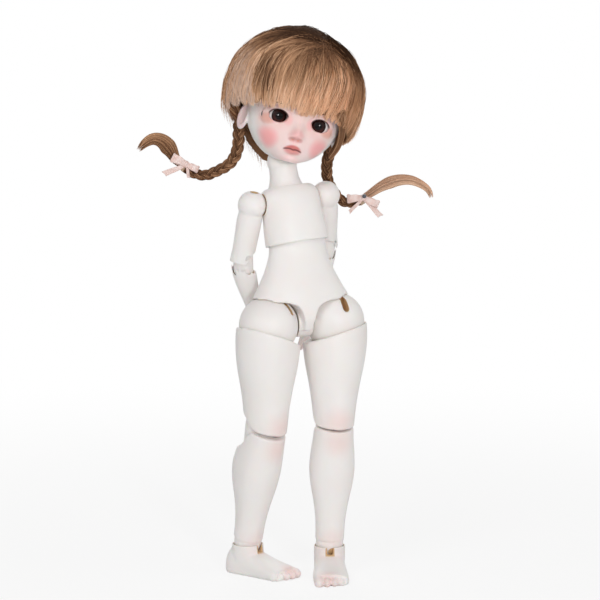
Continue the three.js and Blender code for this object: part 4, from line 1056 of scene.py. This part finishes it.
def lockMesh(name, group):
    # A strand's rays run on a cubic curve from the crown past two points on the way to its end. Strands of a
    # lock spread apart on the way and draw together at the tip; each has its own lift, length and tone.
    group = {**lockDefaults, **group}
    locks, strands, steps, width = (group[key] for key in ("locks", "strands", "steps", "width"))
    spread = random.uniform(-1, 1, (locks, strands))
    order = np.linspace(0, 1, locks)[:, None] + random.normal(0, 0.4 / locks, (locks, 1))
    via = group["via"][0] + (group["via"][1] - group["via"][0]) * order + width * spread
    scatter = random.normal(0, 1, (locks, strands, 3)) * [5, 3, 2]
    crown = unit(np.array(wig["crown"]) - np.array(wig["middle"]) + scatter)
    if "braid" in group:
        root = np.array(braidRoutes[group["braid"]][0]) - [wig["shift"], 0, 0]
        end = unit(root + random.normal(0, 1.5, (locks, strands, 3)) - np.array(wig["middle"]))
        passed = 1.6 * rayTo(via, root[2] + 3 - root[2] * np.sin(np.radians(via)))
    else:
        jag = group["jag"]
        hemAngle, hemHeight = np.array(wig["hemline"], float).T
        middle = group["from"] + (group["to"] - group["from"]) * order + 0.35 * width * spread
        hem = np.interp((middle + 180) % 360 - 180, hemAngle, hemHeight) - group["drop"]
        tips = hem + random.normal(0, jag * 0.35, (locks, 1)) + np.abs(spread) * jag * 0.5
        tips = np.maximum(tips + random.normal(0, 0.3 * jag, spread.shape), hem - 0.9)
        end = rayTo(middle, tips)
        passed = rayTo(via, 44.0)
    begin = group["begin"] + random.uniform(0, 0.12, (locks, strands, 1))
    begin = np.where(random.uniform(0, 1, begin.shape) < 0.25, begin + 0.25, begin)
    along = np.linspace(0, 1, steps)
    t = (begin + (1 - begin) * along)[..., None]
    over = rayTo(via, 55.0)
    rays = (1 - t) ** 3 * crown[:, :, None] + 3 * t * (1 - t) ** 2 * over[:, :, None]
    rays = rays + 3 * t ** 2 * (1 - t) * passed[:, :, None] + t ** 3 * end[:, :, None]
    phase = random.uniform(0, 2 * np.pi, (locks, 1, 1)) + random.normal(0, 0.6, (locks, strands, 1))
    wave = group["wave"] * np.sin(2 * np.pi * group["waves"] * t[..., 0] + phase)
    sideways = unit(np.cross(crown, end))[:, :, None]
    rays = unit(unit(rays) + sideways * wave[..., None] / 35)
    arch = 0.5 * (1 - spread ** 2)[..., None] * np.sin(np.pi * t[..., 0])
    lift = group["lift"] + random.normal(0, 0.3, (locks, 1, 1))
    lift = lift + random.uniform(-0.5, 0.35, (locks, strands, 1))
    lift = lift + arch + 0.6 * wave + group["flip"] * along ** 3
    if "braid" in group:
        # The last part sinks from the surface to the braid's root
        deep = np.linalg.norm(root - wig["middle"])
        reach = np.linalg.norm(hairPoints(rays, 0) - wig["middle"], axis=-1)
        sink = np.clip((t[..., 0] - 0.6) / 0.4, 0, 1)
        lift = lift * (1 - 0.5 * sink) + (deep - reach) * sink ** 2 * (3 - 2 * sink)
    points = hairPoints(rays, lift).reshape(-1, steps, 3)
    taper = np.clip(np.minimum(0.5 + along * 4, (1.03 - along) * 8), 0.25, 1)
    radii = wig["strand"] * group["thin"] * taper * random.uniform(0.65, 1.3, (len(points), 1))
    broad = np.convolve(random.normal(0, 1, locks + 4), np.full(5, 0.45), "valid")
    tone = group["tone"] + 0.10 * broad[:, None] + random.normal(0, 0.08, (locks, strands))
    tone = tone.reshape(-1, 1, 1) + 0.12 * (along[:, None] - 0.5)
    if "fringeShade" in group:
        # The fringe is darker low down at one side, a painted shadow where it curls under: the angle, the
        # reach and how much darker
        angle, reach, darker = group["fringeShade"]
        fringeShade = np.exp(-((via - angle) / reach) ** 2).reshape(-1, 1, 1)
        tone = tone - darker * fringeShade * np.exp(-((along - 0.72) / 0.24) ** 2)[:, None]
    return tubeMesh(name, sweepGrid(points, radii, 3, unit(points - wig["middle"])), tone)


# Side hair swept over the ears and into the braids: routes with the lock's half width at each point
temples = {
    "left": [[18, -20, 33, 6.5], [21.8, -14, 26.5, 5.6], [23.6, -9, 20.5, 4.8], [23.8, -4.8, 14.5, 4.0],
             [22.4, -1, 8.5, 2.8]],
    "right": [[-20, -18, 37, 6.5], [-26, -11, 33.5, 5.5], [-30, -3.5, 29.5, 4.4], [-30.5, 5, 25.5, 3.6],
              [-27, 12.5, 19, 2.8]],
}
temple = {"steps": 22, "strands": 280, "fine": 0.19, "flat": 0.3, "tone": 0.46}


def templeMesh(name):
    *route, halfWidth = np.array(temples[name]).T
    steps, count = temple["steps"], temple["strands"]
    path, _ = evenPath(np.array(route).T, steps)
    places = np.stack([random.uniform(-1, 1, count), random.uniform(-1, 1, count)], -1)
    s = np.linspace(0, 1, steps)
    widths = np.interp(s, np.linspace(0, 1, len(halfWidth)), halfWidth)
    grid = bundle(path, widths, places, temple["fine"], (sides[name], 0, 0), temple["flat"])
    tone = temple["tone"] + random.normal(0, 0.13, (count, 1, 1)) - 0.08 * s[:, None]
    return tubeMesh("temple", grid, tone)


def makeWig():
    # The under layer's sections lie inside the strands', and sink by up to 1.4 mm towards the top
    under, cap = wig["under"], wig["cap"]
    inner = [[z - max(0, (z - 40) / 18), max(2, halfWidth - wig["thinner"] - under["narrower"]),
              front - under["shallower"], back - under["shallower"]]
             for z, halfWidth, front, back in hairStations]
    steps = cut(loft(grownHead(1.75, -2)), *(block((x, -60, -20), (60, y, z)) for x, y, z in wig["clear"]),
                rod(11, (0, 0, -10), (0, 0, 8)))
    for side in sides.values():
        steps += cut(ball(1, (side * ear[0], ear[1], ear[2]), (4.2, 6, 7.8)))
    base = carve(loft(inner), steps, voxel=1.4)
    base.transform(Matrix.Translation((wig["shift"], 0, 0)))
    layer = base.attributes.new("tone", "FLOAT", "POINT")
    layer.data.foreach_set("value", np.full(len(base.vertices), under["tone"]))
    addToHead("hair_under", base, hairMaterial("underHair"), "wig_hair")
    # A second mohair, greyed by a painted sheen
    material, sheenGrey = hairMaterial("mohair"), hairMaterial("sheenGreyMohair", 0.7)
    for name, group in lockGroups.items():
        own = sheenGrey if group.get("paintedSheen") else material
        addToHead("hair_" + name, lockMesh(name, group), own, "wig_hair")
    for name in sides:
        addToHead("hair_temple_" + name, templeMesh(name), material, "wig_hair")

    below = prism(cap["edge"], -60, 60, "x")
    shader = Shader("capKnit", {"Roughness": 0.9})
    knit = shader.node("TexVoronoi", {}, {"Vector": shader.position(), "Scale": 900.0})
    colour = shader.mix(knit.step(0.1, 0.6), cap["dark"], cap["light"])
    material = shader.wear(Base_Color=colour, Normal=shader.bump(knit, 0.5, 0.0001))
    mesh = carve(loft(grownHead(cap["outer"], 14)), cut(loft(grownHead(cap["inner"], 9)), below), voxel=1.1)
    addToHead("cap_knit", mesh, material, "wig_cap")
    print("wig made")


def evenPath(route, count):
    # A smooth curve through the route, at even lengths
    dense = smoothRows(route, 400)
    passed = np.concatenate([[0], np.cumsum(np.linalg.norm(np.diff(dense, axis=0), axis=1))])
    at = np.linspace(0, passed[-1], count)
    return np.stack([np.interp(at, passed, dense[:, k]) for k in range(3)], -1), passed[-1]


def bundle(path, radii, places, fine, reference, flat=1.0, ends=None):
    # Fine tubes that keep their place in a thick strand's section: places are (across, over) in its half
    # sizes, and ends says how far along the path each tube reaches
    along, across, over = pathFrame(path, reference)
    sideways, upwards = places[..., 0, None, None], places[..., 1, None, None]
    points = path + radii[:, None] * (sideways * across + flat * upwards * over)
    s = np.linspace(0, 1, len(path))
    taper = np.ones_like(s)
    if ends is not None:
        at = ends[:, None] * s * (len(path) - 1)
        low = np.minimum(at.astype(int), len(path) - 2)
        rows = np.arange(len(points))[:, None]
        points = points[rows, low] + (at - low)[..., None] * (points[rows, low + 1] - points[rows, low])
        taper = np.clip((1.02 - s) * 8, 0.15, 1)
    thickness = fine * random.uniform(0.7, 1.2, (len(points), 1)) * taper
    return sweepGrid(points, thickness, 3, reference)


def addHair(name, node, grid, tone, material):
    addToHead(name, tubeMesh(name, grid, tone), material, node)


def aroundSection(angle, reach=1.0):
    return np.stack([reach * np.cos(angle), reach * np.sin(angle)], -1)


upright = (0, 1, 0)
# A braid's half width at its two ends and the length of one weave in millimetres. A strand's radius, how far
# it swings and dives, and its core's radius are each a part of what holds them. The dark cores and the
# strands' low tones are painted shade of the weave's crevices.
braid = {"radius": (3.0, 2.3), "pitch": 12.5, "steps": 90, "strand": 0.50, "swing": 0.55, "dive": 0.30,
         "core": 0.86, "shadedCoreTone": 0.16, "fibres": 22, "fine": 0.22}


def makeBraids():
    start, end = braid["radius"]
    steps, count = braid["steps"], braid["fibres"]
    material = hairMaterial("braidHair")
    s = np.linspace(0, 1, steps)
    radius = start + (end - start) * s
    thick = radius * braid["strand"]
    for name in sides:
        path, reach = evenPath(braidRoutes[name], steps)
        along, across, over = pathFrame(path, upright)
        # Three strands weave: across goes with the sine of the phase, over with the sine of twice the phase
        for strand in range(3):
            phase = 2 * np.pi * (s * reach / braid["pitch"] + strand / 3)
            swing = radius * braid["swing"] * np.sin(phase)
            dive = radius * braid["dive"] * np.sin(2 * phase)
            middle = path + swing[:, None] * across + dive[:, None] * over
            core = sweepGrid(middle, thick * braid["core"], 12, upright)
            # The core is painted dark as the shade inside each strand
            tone = random.normal(braid["shadedCoreTone"], 0.02)
            addHair(f"braid_{name}_core_{strand + 1}", f"braid_{name}", core, tone, material)
            angle = np.linspace(0, 2 * np.pi, count, endpoint=False) + random.normal(0, 0.08, count)
            fine = bundle(middle, thick, aroundSection(angle), braid["fine"], upright)
            # Low tones darken the strands as painted shade of the weave
            tone = random.uniform(0.08, 0.56, (count, 1, 1)) + 0.14 * np.cos(phase)[:, None]
            addHair(f"braid_{name}_strand_{strand + 1}", f"braid_{name}", fine, tone, material)
    print("braids made")


def braidEnd(name):
    # Where a braid ends, and the way on from there
    end = np.array(braidRoutes[name][-1], float)
    return end, unit(np.array(tailRoutes[name][0], float) - end)


# Radii in millimetres at the root, the tip and the widest place, which lies swell of the way along
tail = {
    "steps": 30, "strands": 340, "root": 1.7, "tip": 1.0, "swell": 0.4, "fine": 0.17, "flat": 0.55,
    "widest": {"left": 3.2, "right": 4.2}, "darkest": {"left": 0.38, "right": 0.16},
    # Next, how much each tail is greyed by a painted sheen, then its core
    "paintedSheen": {"left": 0.2, "right": 0.0}, "core": {"steps": 25, "part": 0.75, "flat": 0.45, "tone": 0.36},
}


def makeTails():
    # The loose ends: a dark core and strands that fan out to the widest place and draw to a point
    materials = {name: hairMaterial(f"tailHair_{name}", tail["paintedSheen"][name]) for name in sides}
    count, root, tip, swell, core = (tail[key] for key in ("strands", "root", "tip", "swell", "core"))
    s = np.linspace(0, 1, tail["steps"])
    for name in sides:
        end, heading = braidEnd(name)
        path, _ = evenPath([end + 0.4 * heading, *tailRoutes[name]], tail["steps"])
        most = tail["widest"][name]
        fanning = root + (most - root) * (s / swell) ** 1.5
        closing = tip + (most - tip) * ((1 - s) / (1 - swell)) ** 0.8
        radius = np.where(s < swell, fanning, closing)
        inner = radius * core["part"] * np.clip((0.84 - s) * 3.5, 0.05, 1)
        kept = core["steps"]
        grid = sweepGrid(path[:kept], inner[:kept], 20, upright, core["flat"])
        addHair(f"tail_{name}_core", f"hair_tail_{name}", grid, core["tone"], materials[name])
        angle = random.uniform(0, 2 * np.pi, count)
        places = aroundSection(angle, np.sqrt(random.uniform(0.35, 1.0, count)))
        ends = random.uniform(0.78, 1.0, count)
        fine = bundle(path, radius, places, tail["fine"], upright, tail["flat"], ends)
        tone = tail["darkest"][name] + random.uniform(0, 0.46, (count, 1, 1)) + 0.15 * (s[:, None] - 0.5)
        addHair(f"tail_{name}_strands", f"hair_tail_{name}", fine, tone, materials[name])
    print("hair tails made")


# Satin bows: each ribbon is a thin band along a middle line, with its width square to the line


def ribbonGrid(line, widthways, half, thickness=0.22, around=16, skew=0.0):
    # Rounded flat sections; skew slides the last ring's edges along the line for a slanted cut
    line = np.asarray(line, float)
    along = unit(np.gradient(line, axis=0))
    widthways = np.broadcast_to(widthways, line.shape)
    normal = unit(np.cross(along, widthways))
    angle = np.linspace(0, 2 * np.pi, around, endpoint=False)
    c, s = np.cos(angle)[:, None], np.sin(angle)[:, None]
    c, s = np.sign(c) * np.abs(c) ** 0.5, np.sign(s) * np.abs(s) ** 0.5
    half = np.broadcast_to(half, len(line))[:, None, None]
    ring = line[:, None] + c * half * widthways[:, None] + s * thickness * normal[:, None]
    ring[-1] += skew * c * along[-1]
    return ring


def satin():
    shader = Shader("satin", {"Sheen Weight": 0.4, "Sheen Roughness": 0.3, "Coat Weight": 0.1, "IOR": 1.45})
    cloud = shader.noise(420.0)
    colour = shader.mix(cloud.step(0.3, 0.7), bow["dark"], bow["light"])
    return shader.wear(Base_Color=colour, Roughness=0.28 + 0.15 * cloud)


bow = {
    "forward": 4.9, "raised": 1.5, "knot": (1.35, 1.3, 1.75), "creases": 5, "pinch": 0.75, "start": 0.7,
    "dark": (0.80, 0.56, 0.50), "light": (0.86, 0.70, 0.66),
    # Loops as (reach x, reach z, half width), ribbons as (x, z, half width, skew), from the knot
    "left": {"loops": [(-7.6, -2.4, 2.1), (8.6, -1.4, 1.9)],
             "ribbons": [(11.4, -6.6, 1.45, 0.9), (-4.4, -8.6, 0.9, 0.7)]},
    "right": {"loops": [(-7.6, 1.6, 2.3), (6.4, -1.2, 1.7)],
              "ribbons": [(-9.2, -7.4, 1.5, -0.9), (3.0, -6.2, 0.8, 0.5)]},
}
tie = {"turns": 5, "half": 1.0, "radius": 2.35, "thread": 0.30,
       "dark": (0.50, 0.36, 0.24), "light": (0.66, 0.50, 0.36)}
bead = {"radius": 1.1, "squash": (1, 0.8, 1), "place": (0, -2.5, 1.0),
        "dark": (0.03, 0.035, 0.05), "light": (0.10, 0.11, 0.14)}


def outwards(x, z):
    # How far the end of a loop or ribbon is, the way to it, and the way square to that
    reach = math.hypot(x, z)
    return reach, np.array([x, 0, z]) / reach, np.array([-z, 0, x]) / reach


def makeBow(name, knot, material):
    s = np.linspace(0, 1, 60)
    pieces = []
    for x, z, half in bow[name]["loops"]:
        # The band goes out in front, turns at the tip and comes back behind; it is pinched at the knot
        reach, heading, widthways = outwards(x, z)
        out = reach * (1 - np.cos(2 * np.pi * s)) / 2
        deep = -1.25 * np.sin(2 * np.pi * s) * (0.4 + 0.6 * np.sin(np.pi * s))
        ripple = 0.25 * np.sin(6 * np.pi * s)
        line = out[:, None] * heading + deep[:, None] * [0, 1, 0] + ripple[:, None] * widthways
        width = bow["pinch"] + (half - bow["pinch"]) * np.sin(np.pi * s) ** 0.8
        pieces.append(("loop", ribbonGrid(knot + line, widthways, width)))
    for x, z, half, skew in bow[name]["ribbons"]:
        reach, heading, widthways = outwards(x, z)
        ripple = 0.5 * np.sin(1.6 * np.pi * s)
        line = reach * s[:, None] * heading + (0.9 - ripple * 1.2)[:, None] * [0, 1, 0] * s[:, None] ** 0.5
        line = line + 0.25 * ripple[:, None] * widthways
        width = bow["start"] + (half - bow["start"]) * s ** 0.6
        pieces.append(("ribbon", ribbonGrid(knot + line, widthways, width, skew=skew)))
    for number, (kind, grid) in enumerate(pieces, 1):
        addToHead(f"bow_{name}_{kind}_{number}", tubeMesh(kind, grid), material, f"bow_{name}")
    # The knot: a ball with shallow creases round it
    angle = np.linspace(0.02, np.pi - 0.02, 40)[:, None]
    turn = np.linspace(0, 2 * np.pi, 48, endpoint=False)
    swell = 1 - 0.06 * np.cos(bow["creases"] * turn) * np.sin(angle)
    wide, deep, high = bow["knot"]
    grid = np.stack([wide * np.sin(angle) * np.cos(turn) * swell, deep * np.sin(angle) * np.sin(turn) * swell,
                     high * np.cos(angle) + 0 * turn], -1)
    addToHead(f"bow_{name}_knot", tubeMesh("knot", grid + knot), material, f"bow_{name}")


def makeTie(name):
    # The thread under the bow that holds the braid's end, its turns side by side as one helix
    end, heading = braidEnd(name)
    across = unit(np.cross([0, 1, 0], heading))
    over = np.cross(heading, across)
    shader = Shader("tie_" + name, {"Roughness": 0.7})
    thread = shader.noise(1500.0)
    material = shader.wear(Base_Color=shader.mix(thread, tie["dark"], tie["light"]),
                           Normal=shader.bump(thread, 0.4, 0.00005))
    t = np.linspace(0, 1, 160)[:, None]
    angle = 2 * tie["turns"] * np.pi * t
    out = np.cos(angle) * across + np.sin(angle) * over
    helix = end + heading * tie["half"] * (2.0 * t - 1.0) + tie["radius"] * out
    mesh = tubeMesh("tie", sweepGrid(helix, tie["thread"], 8, out))
    addToHead(f"tie_{name}", mesh, material, f"hair_tie_{name}")


def makeBows():
    material = satin()
    offset = [0, -bow["forward"], bow["raised"]]
    knots = {name: np.array(braidRoutes[name][-1], float) + offset for name in sides}
    for name in sides:
        makeBow(name, knots[name], material)
        makeTie(name)
    shader = Shader("beadGlass", {"Coat Weight": 1.0, "Coat Roughness": 0.03, "IOR": 1.5})
    tint = shader.noise(2000.0)
    material = shader.wear(Base_Color=shader.mix(tint, bead["dark"], bead["light"]),
                           Roughness=0.08 + 0.05 * tint)
    mesh = ball(bead["radius"], knots["left"] + bead["place"], bead["squash"], 40)
    addToHead("bead_glass", mesh, material, "bow_bead")
    print("bows made")


# Elastic cords and the steel inside


wire = {
    "head": [[0, -2.6, 13.4], [0, -1.2, 11], [0, 1.6, 12], [0, 1.6, 15], [0, -1.6, 18], [0, -1.4, 21.4],
             [0, 1.6, 22.4], [0, 2.8, 20]],
    "wrist": [[-0.1, 0, -4], [0.5, 0, -4.6], [0.4, 0, -5.6], [-0.4, 0, -6.6], [-0.1, 0, -7.2]],
    "ankle": [[-0.1, 0, -7.6], [0.5, 0, -8.2], [0.4, 0, -9.35], [-0.4, 0, -10.5], [-0.1, 0, -11.1]],
}


def makeInside():
    shader = Shader("elastic", {"Roughness": 0.8})
    weave = shader.node("TexWave", {"wave_type": "BANDS", "bands_direction": "DIAGONAL"},
                        {"Vector": shader.position(), "Scale": 420.0, "Distortion": 1.0}, 1)
    elastic = shader.wear(Base_Color=shader.mix(weave, (0.60, 0.46, 0.30), (0.80, 0.68, 0.50)),
                          Normal=shader.bump(weave, 0.5, 0.0001))
    shader = Shader("steel", {"Metallic": 1.0})
    brush = shader.noise(1200.0)
    steel = shader.wear(Base_Color=shader.mix(brush, (0.50, 0.50, 0.51), (0.66, 0.66, 0.67)),
                        Roughness=0.22 + 0.15 * brush)

    # Each as (node, body, place, route, radius)
    back, radius = cord["back"], cord["radius"]
    armCord = [[-11.8, 1, 19.7], [-6, 0.5, 17.2], [0, 0, cord["armLow"]], [6, 0.5, 17.2], [11.8, 1, 19.7]]
    runs = [
        ("cord_torso", "lower_torso", place["pelvis"], [[0, back, 20.5], [0, back, 47.5]], radius),
        ("cord_chest", "chest", place["chest"], [[0, back, 9.4], [0, back, 15.6]], radius),
        ("cord_arms", "chest", place["chest"], armCord, radius),
        ("cord_neck", "neck", place["neck"], [[0, 0, -8], [0, 0, 21.5]], radius),
        ("head_hook", "head", place["head"], wire["head"], 0.8),
    ]
    for name, side in sides.items():
        spot = place[name]
        centre, channelTop = np.array([side * hip["spacing"] / 2, 0, 0]), np.array([0, back, cord["fork"]])
        away = unit(centre - channelTop)
        hipCord = [channelTop + 3.2 * away, centre - (hip["ball"] + 1) * away]
        low = np.array([0, knee["back"], knee["half"] - length["thigh"]])
        reach = length["forearm"] - elbow["half"]
        shinCord = [[0, -0.4, -10], [0, -knee["back"] + 0.2, -48]]
        upperArmCord, forearmCord = [[0, 0, -1], [0, 0, -20.6]], [[0, 0, -6], [0, 0, -reach - 2.4]]
        runs += [
            (f"cord_upper_arm_{name}", f"shoulder_cord_{name}", spot["arm"], upperArmCord, radius),
            (f"cord_forearm_{name}", f"forearm_{name}", spot["elbowLow"], forearmCord, cord["armRadius"]),
            (f"cord_hip_{name}", "lower_torso", place["pelvis"], hipCord, radius),
            (f"cord_thigh_{name}", f"thigh_{name}", spot["thigh"], [low * 0.32, low * 0.8], radius),
            (f"cord_shin_{name}", f"shin_{name}", spot["kneeLow"], shinCord, radius),
            (f"wrist_hook_{name}", f"hand_{name}", spot["hand"], wire["wrist"], 0.45),
            (f"ankle_hook_{name}", f"foot_{name}", spot["foot"], wire["ankle"], 0.5),
        ]
    s = np.linspace(0, 1, 60)
    ends = roundedEnd(np.abs(2 * s - 1) * 20 - 19, 0.05)
    for node, body, matrix, route, thick in runs:
        hook = "hook" in node
        kind, material, slot = ("_wire", steel, "steel") if hook else ("_elastic", elastic, "elastic")
        reference = (1, 0, 0) if node == "head_hook" else upright
        grid = sweepGrid(smoothRows(route, 60), thick * ends, 16, reference)
        addPiece(node + kind, tubeMesh(node, grid), matrix, material, body, node)
    for node in ("head_magnet", "cap_magnet"):
        frame["nodes"][node].data.materials.clear()
        frame["nodes"][node].data.materials.append(steel)
    print("cords and steel made")


makeTorso()
makeHead()
makeEyes()
makeArms()
makeLegs()
makeWig()
makeBraids()
makeTails()
makeBows()
makeInside()

# Floor, backdrop and light


stage = {
    "reach": 3.0, "floor": (0.93, 0.93, 0.925), "fade": (80.0, 700.0), "daylight": 0.42,
    # Lamps as (name, azimuth, elevation, distance, size, watts)
    "lamps": [
        ("key", -50, 35, 1.1, 0.55, 2.2), ("front", -5, 9, 1.2, 0.13, 3.7), ("side", 55, 25, 1.2, 0.7, 0.9),
        ("rear", 165, 40, 1.2, 0.7, 2.6),
    ],
}


def makeFloor():
    # A pale floor that keeps the shadow and fades to plain white for the camera
    reach = stage["reach"]
    corners = [(-reach, -reach, 0), (reach, -reach, 0), (reach, reach, 0), (-reach, reach, 0)]
    mesh = bpy.data.meshes.new("floor")
    mesh.from_pydata(corners, [], [(0, 1, 2, 3)])
    floor = bpy.data.objects.new("floor", mesh)
    scene.collection.objects.link(floor)
    shader = Shader("floorPaint", {"Roughness": 0.9, "Specular IOR Level": 0.1})
    shader.wear(Base_Color=stage["floor"])
    far = shader.distance((0, 0, 0)).step(*stage["fade"])
    seen = shader.node("LightPath", output=0)
    white = shader.node("Emission", {}, {"Color": (1, 1, 1), "Strength": 1.0})
    paint = Value(shader, shader.surface.outputs[0])
    blend = shader.node("MixShader", {}, [seen * (far * 0.2 + 0.8), paint, white])
    shader.feed(shader.tree.nodes["Material Output"].inputs["Surface"], blend)
    mesh.materials.append(shader.material)


def makeWorld():
    # Soft white light; the camera, gloss and glass see the backdrop as plain white
    world = bpy.data.worlds.new("studio")
    scene.world = world
    world.use_nodes = True
    nodes, links = world.node_tree.nodes, world.node_tree.links
    background = nodes["Background"]
    background.inputs["Color"].default_value = (1, 1, 1, 1)
    rays = nodes.new("ShaderNodeLightPath")
    seen = rays.outputs["Is Camera Ray"]
    for kind in ("Is Glossy Ray", "Is Transmission Ray"):
        either = nodes.new("ShaderNodeMath")
        either.operation = "MAXIMUM"
        links.new(seen, either.inputs[0])
        links.new(rays.outputs[kind], either.inputs[1])
        seen = either.outputs[0]
    strength = nodes.new("ShaderNodeMapRange")
    strength.inputs["To Min"].default_value = stage["daylight"]
    strength.inputs["To Max"].default_value = 1.0
    links.new(seen, strength.inputs["Value"])
    links.new(strength.outputs[0], background.inputs["Strength"])


def makeLamps():
    for name, azimuth, elevation, distance, size, watts in stage["lamps"]:
        towards = Vector(directionTo(azimuth, elevation))
        light = bpy.data.lights.new(name, "AREA")
        light.shape, light.size, light.energy = "DISK", size, watts
        lamp = bpy.data.objects.new(name, light)
        lamp.location = Vector(aim * mm) + distance * towards
        lamp.rotation_euler = towards.to_track_quat("Z", "Y").to_euler()
        scene.collection.objects.link(lamp)


makeFloor()
makeWorld()
makeLamps()
scene.view_settings.view_transform = "Standard"
print("stage set")
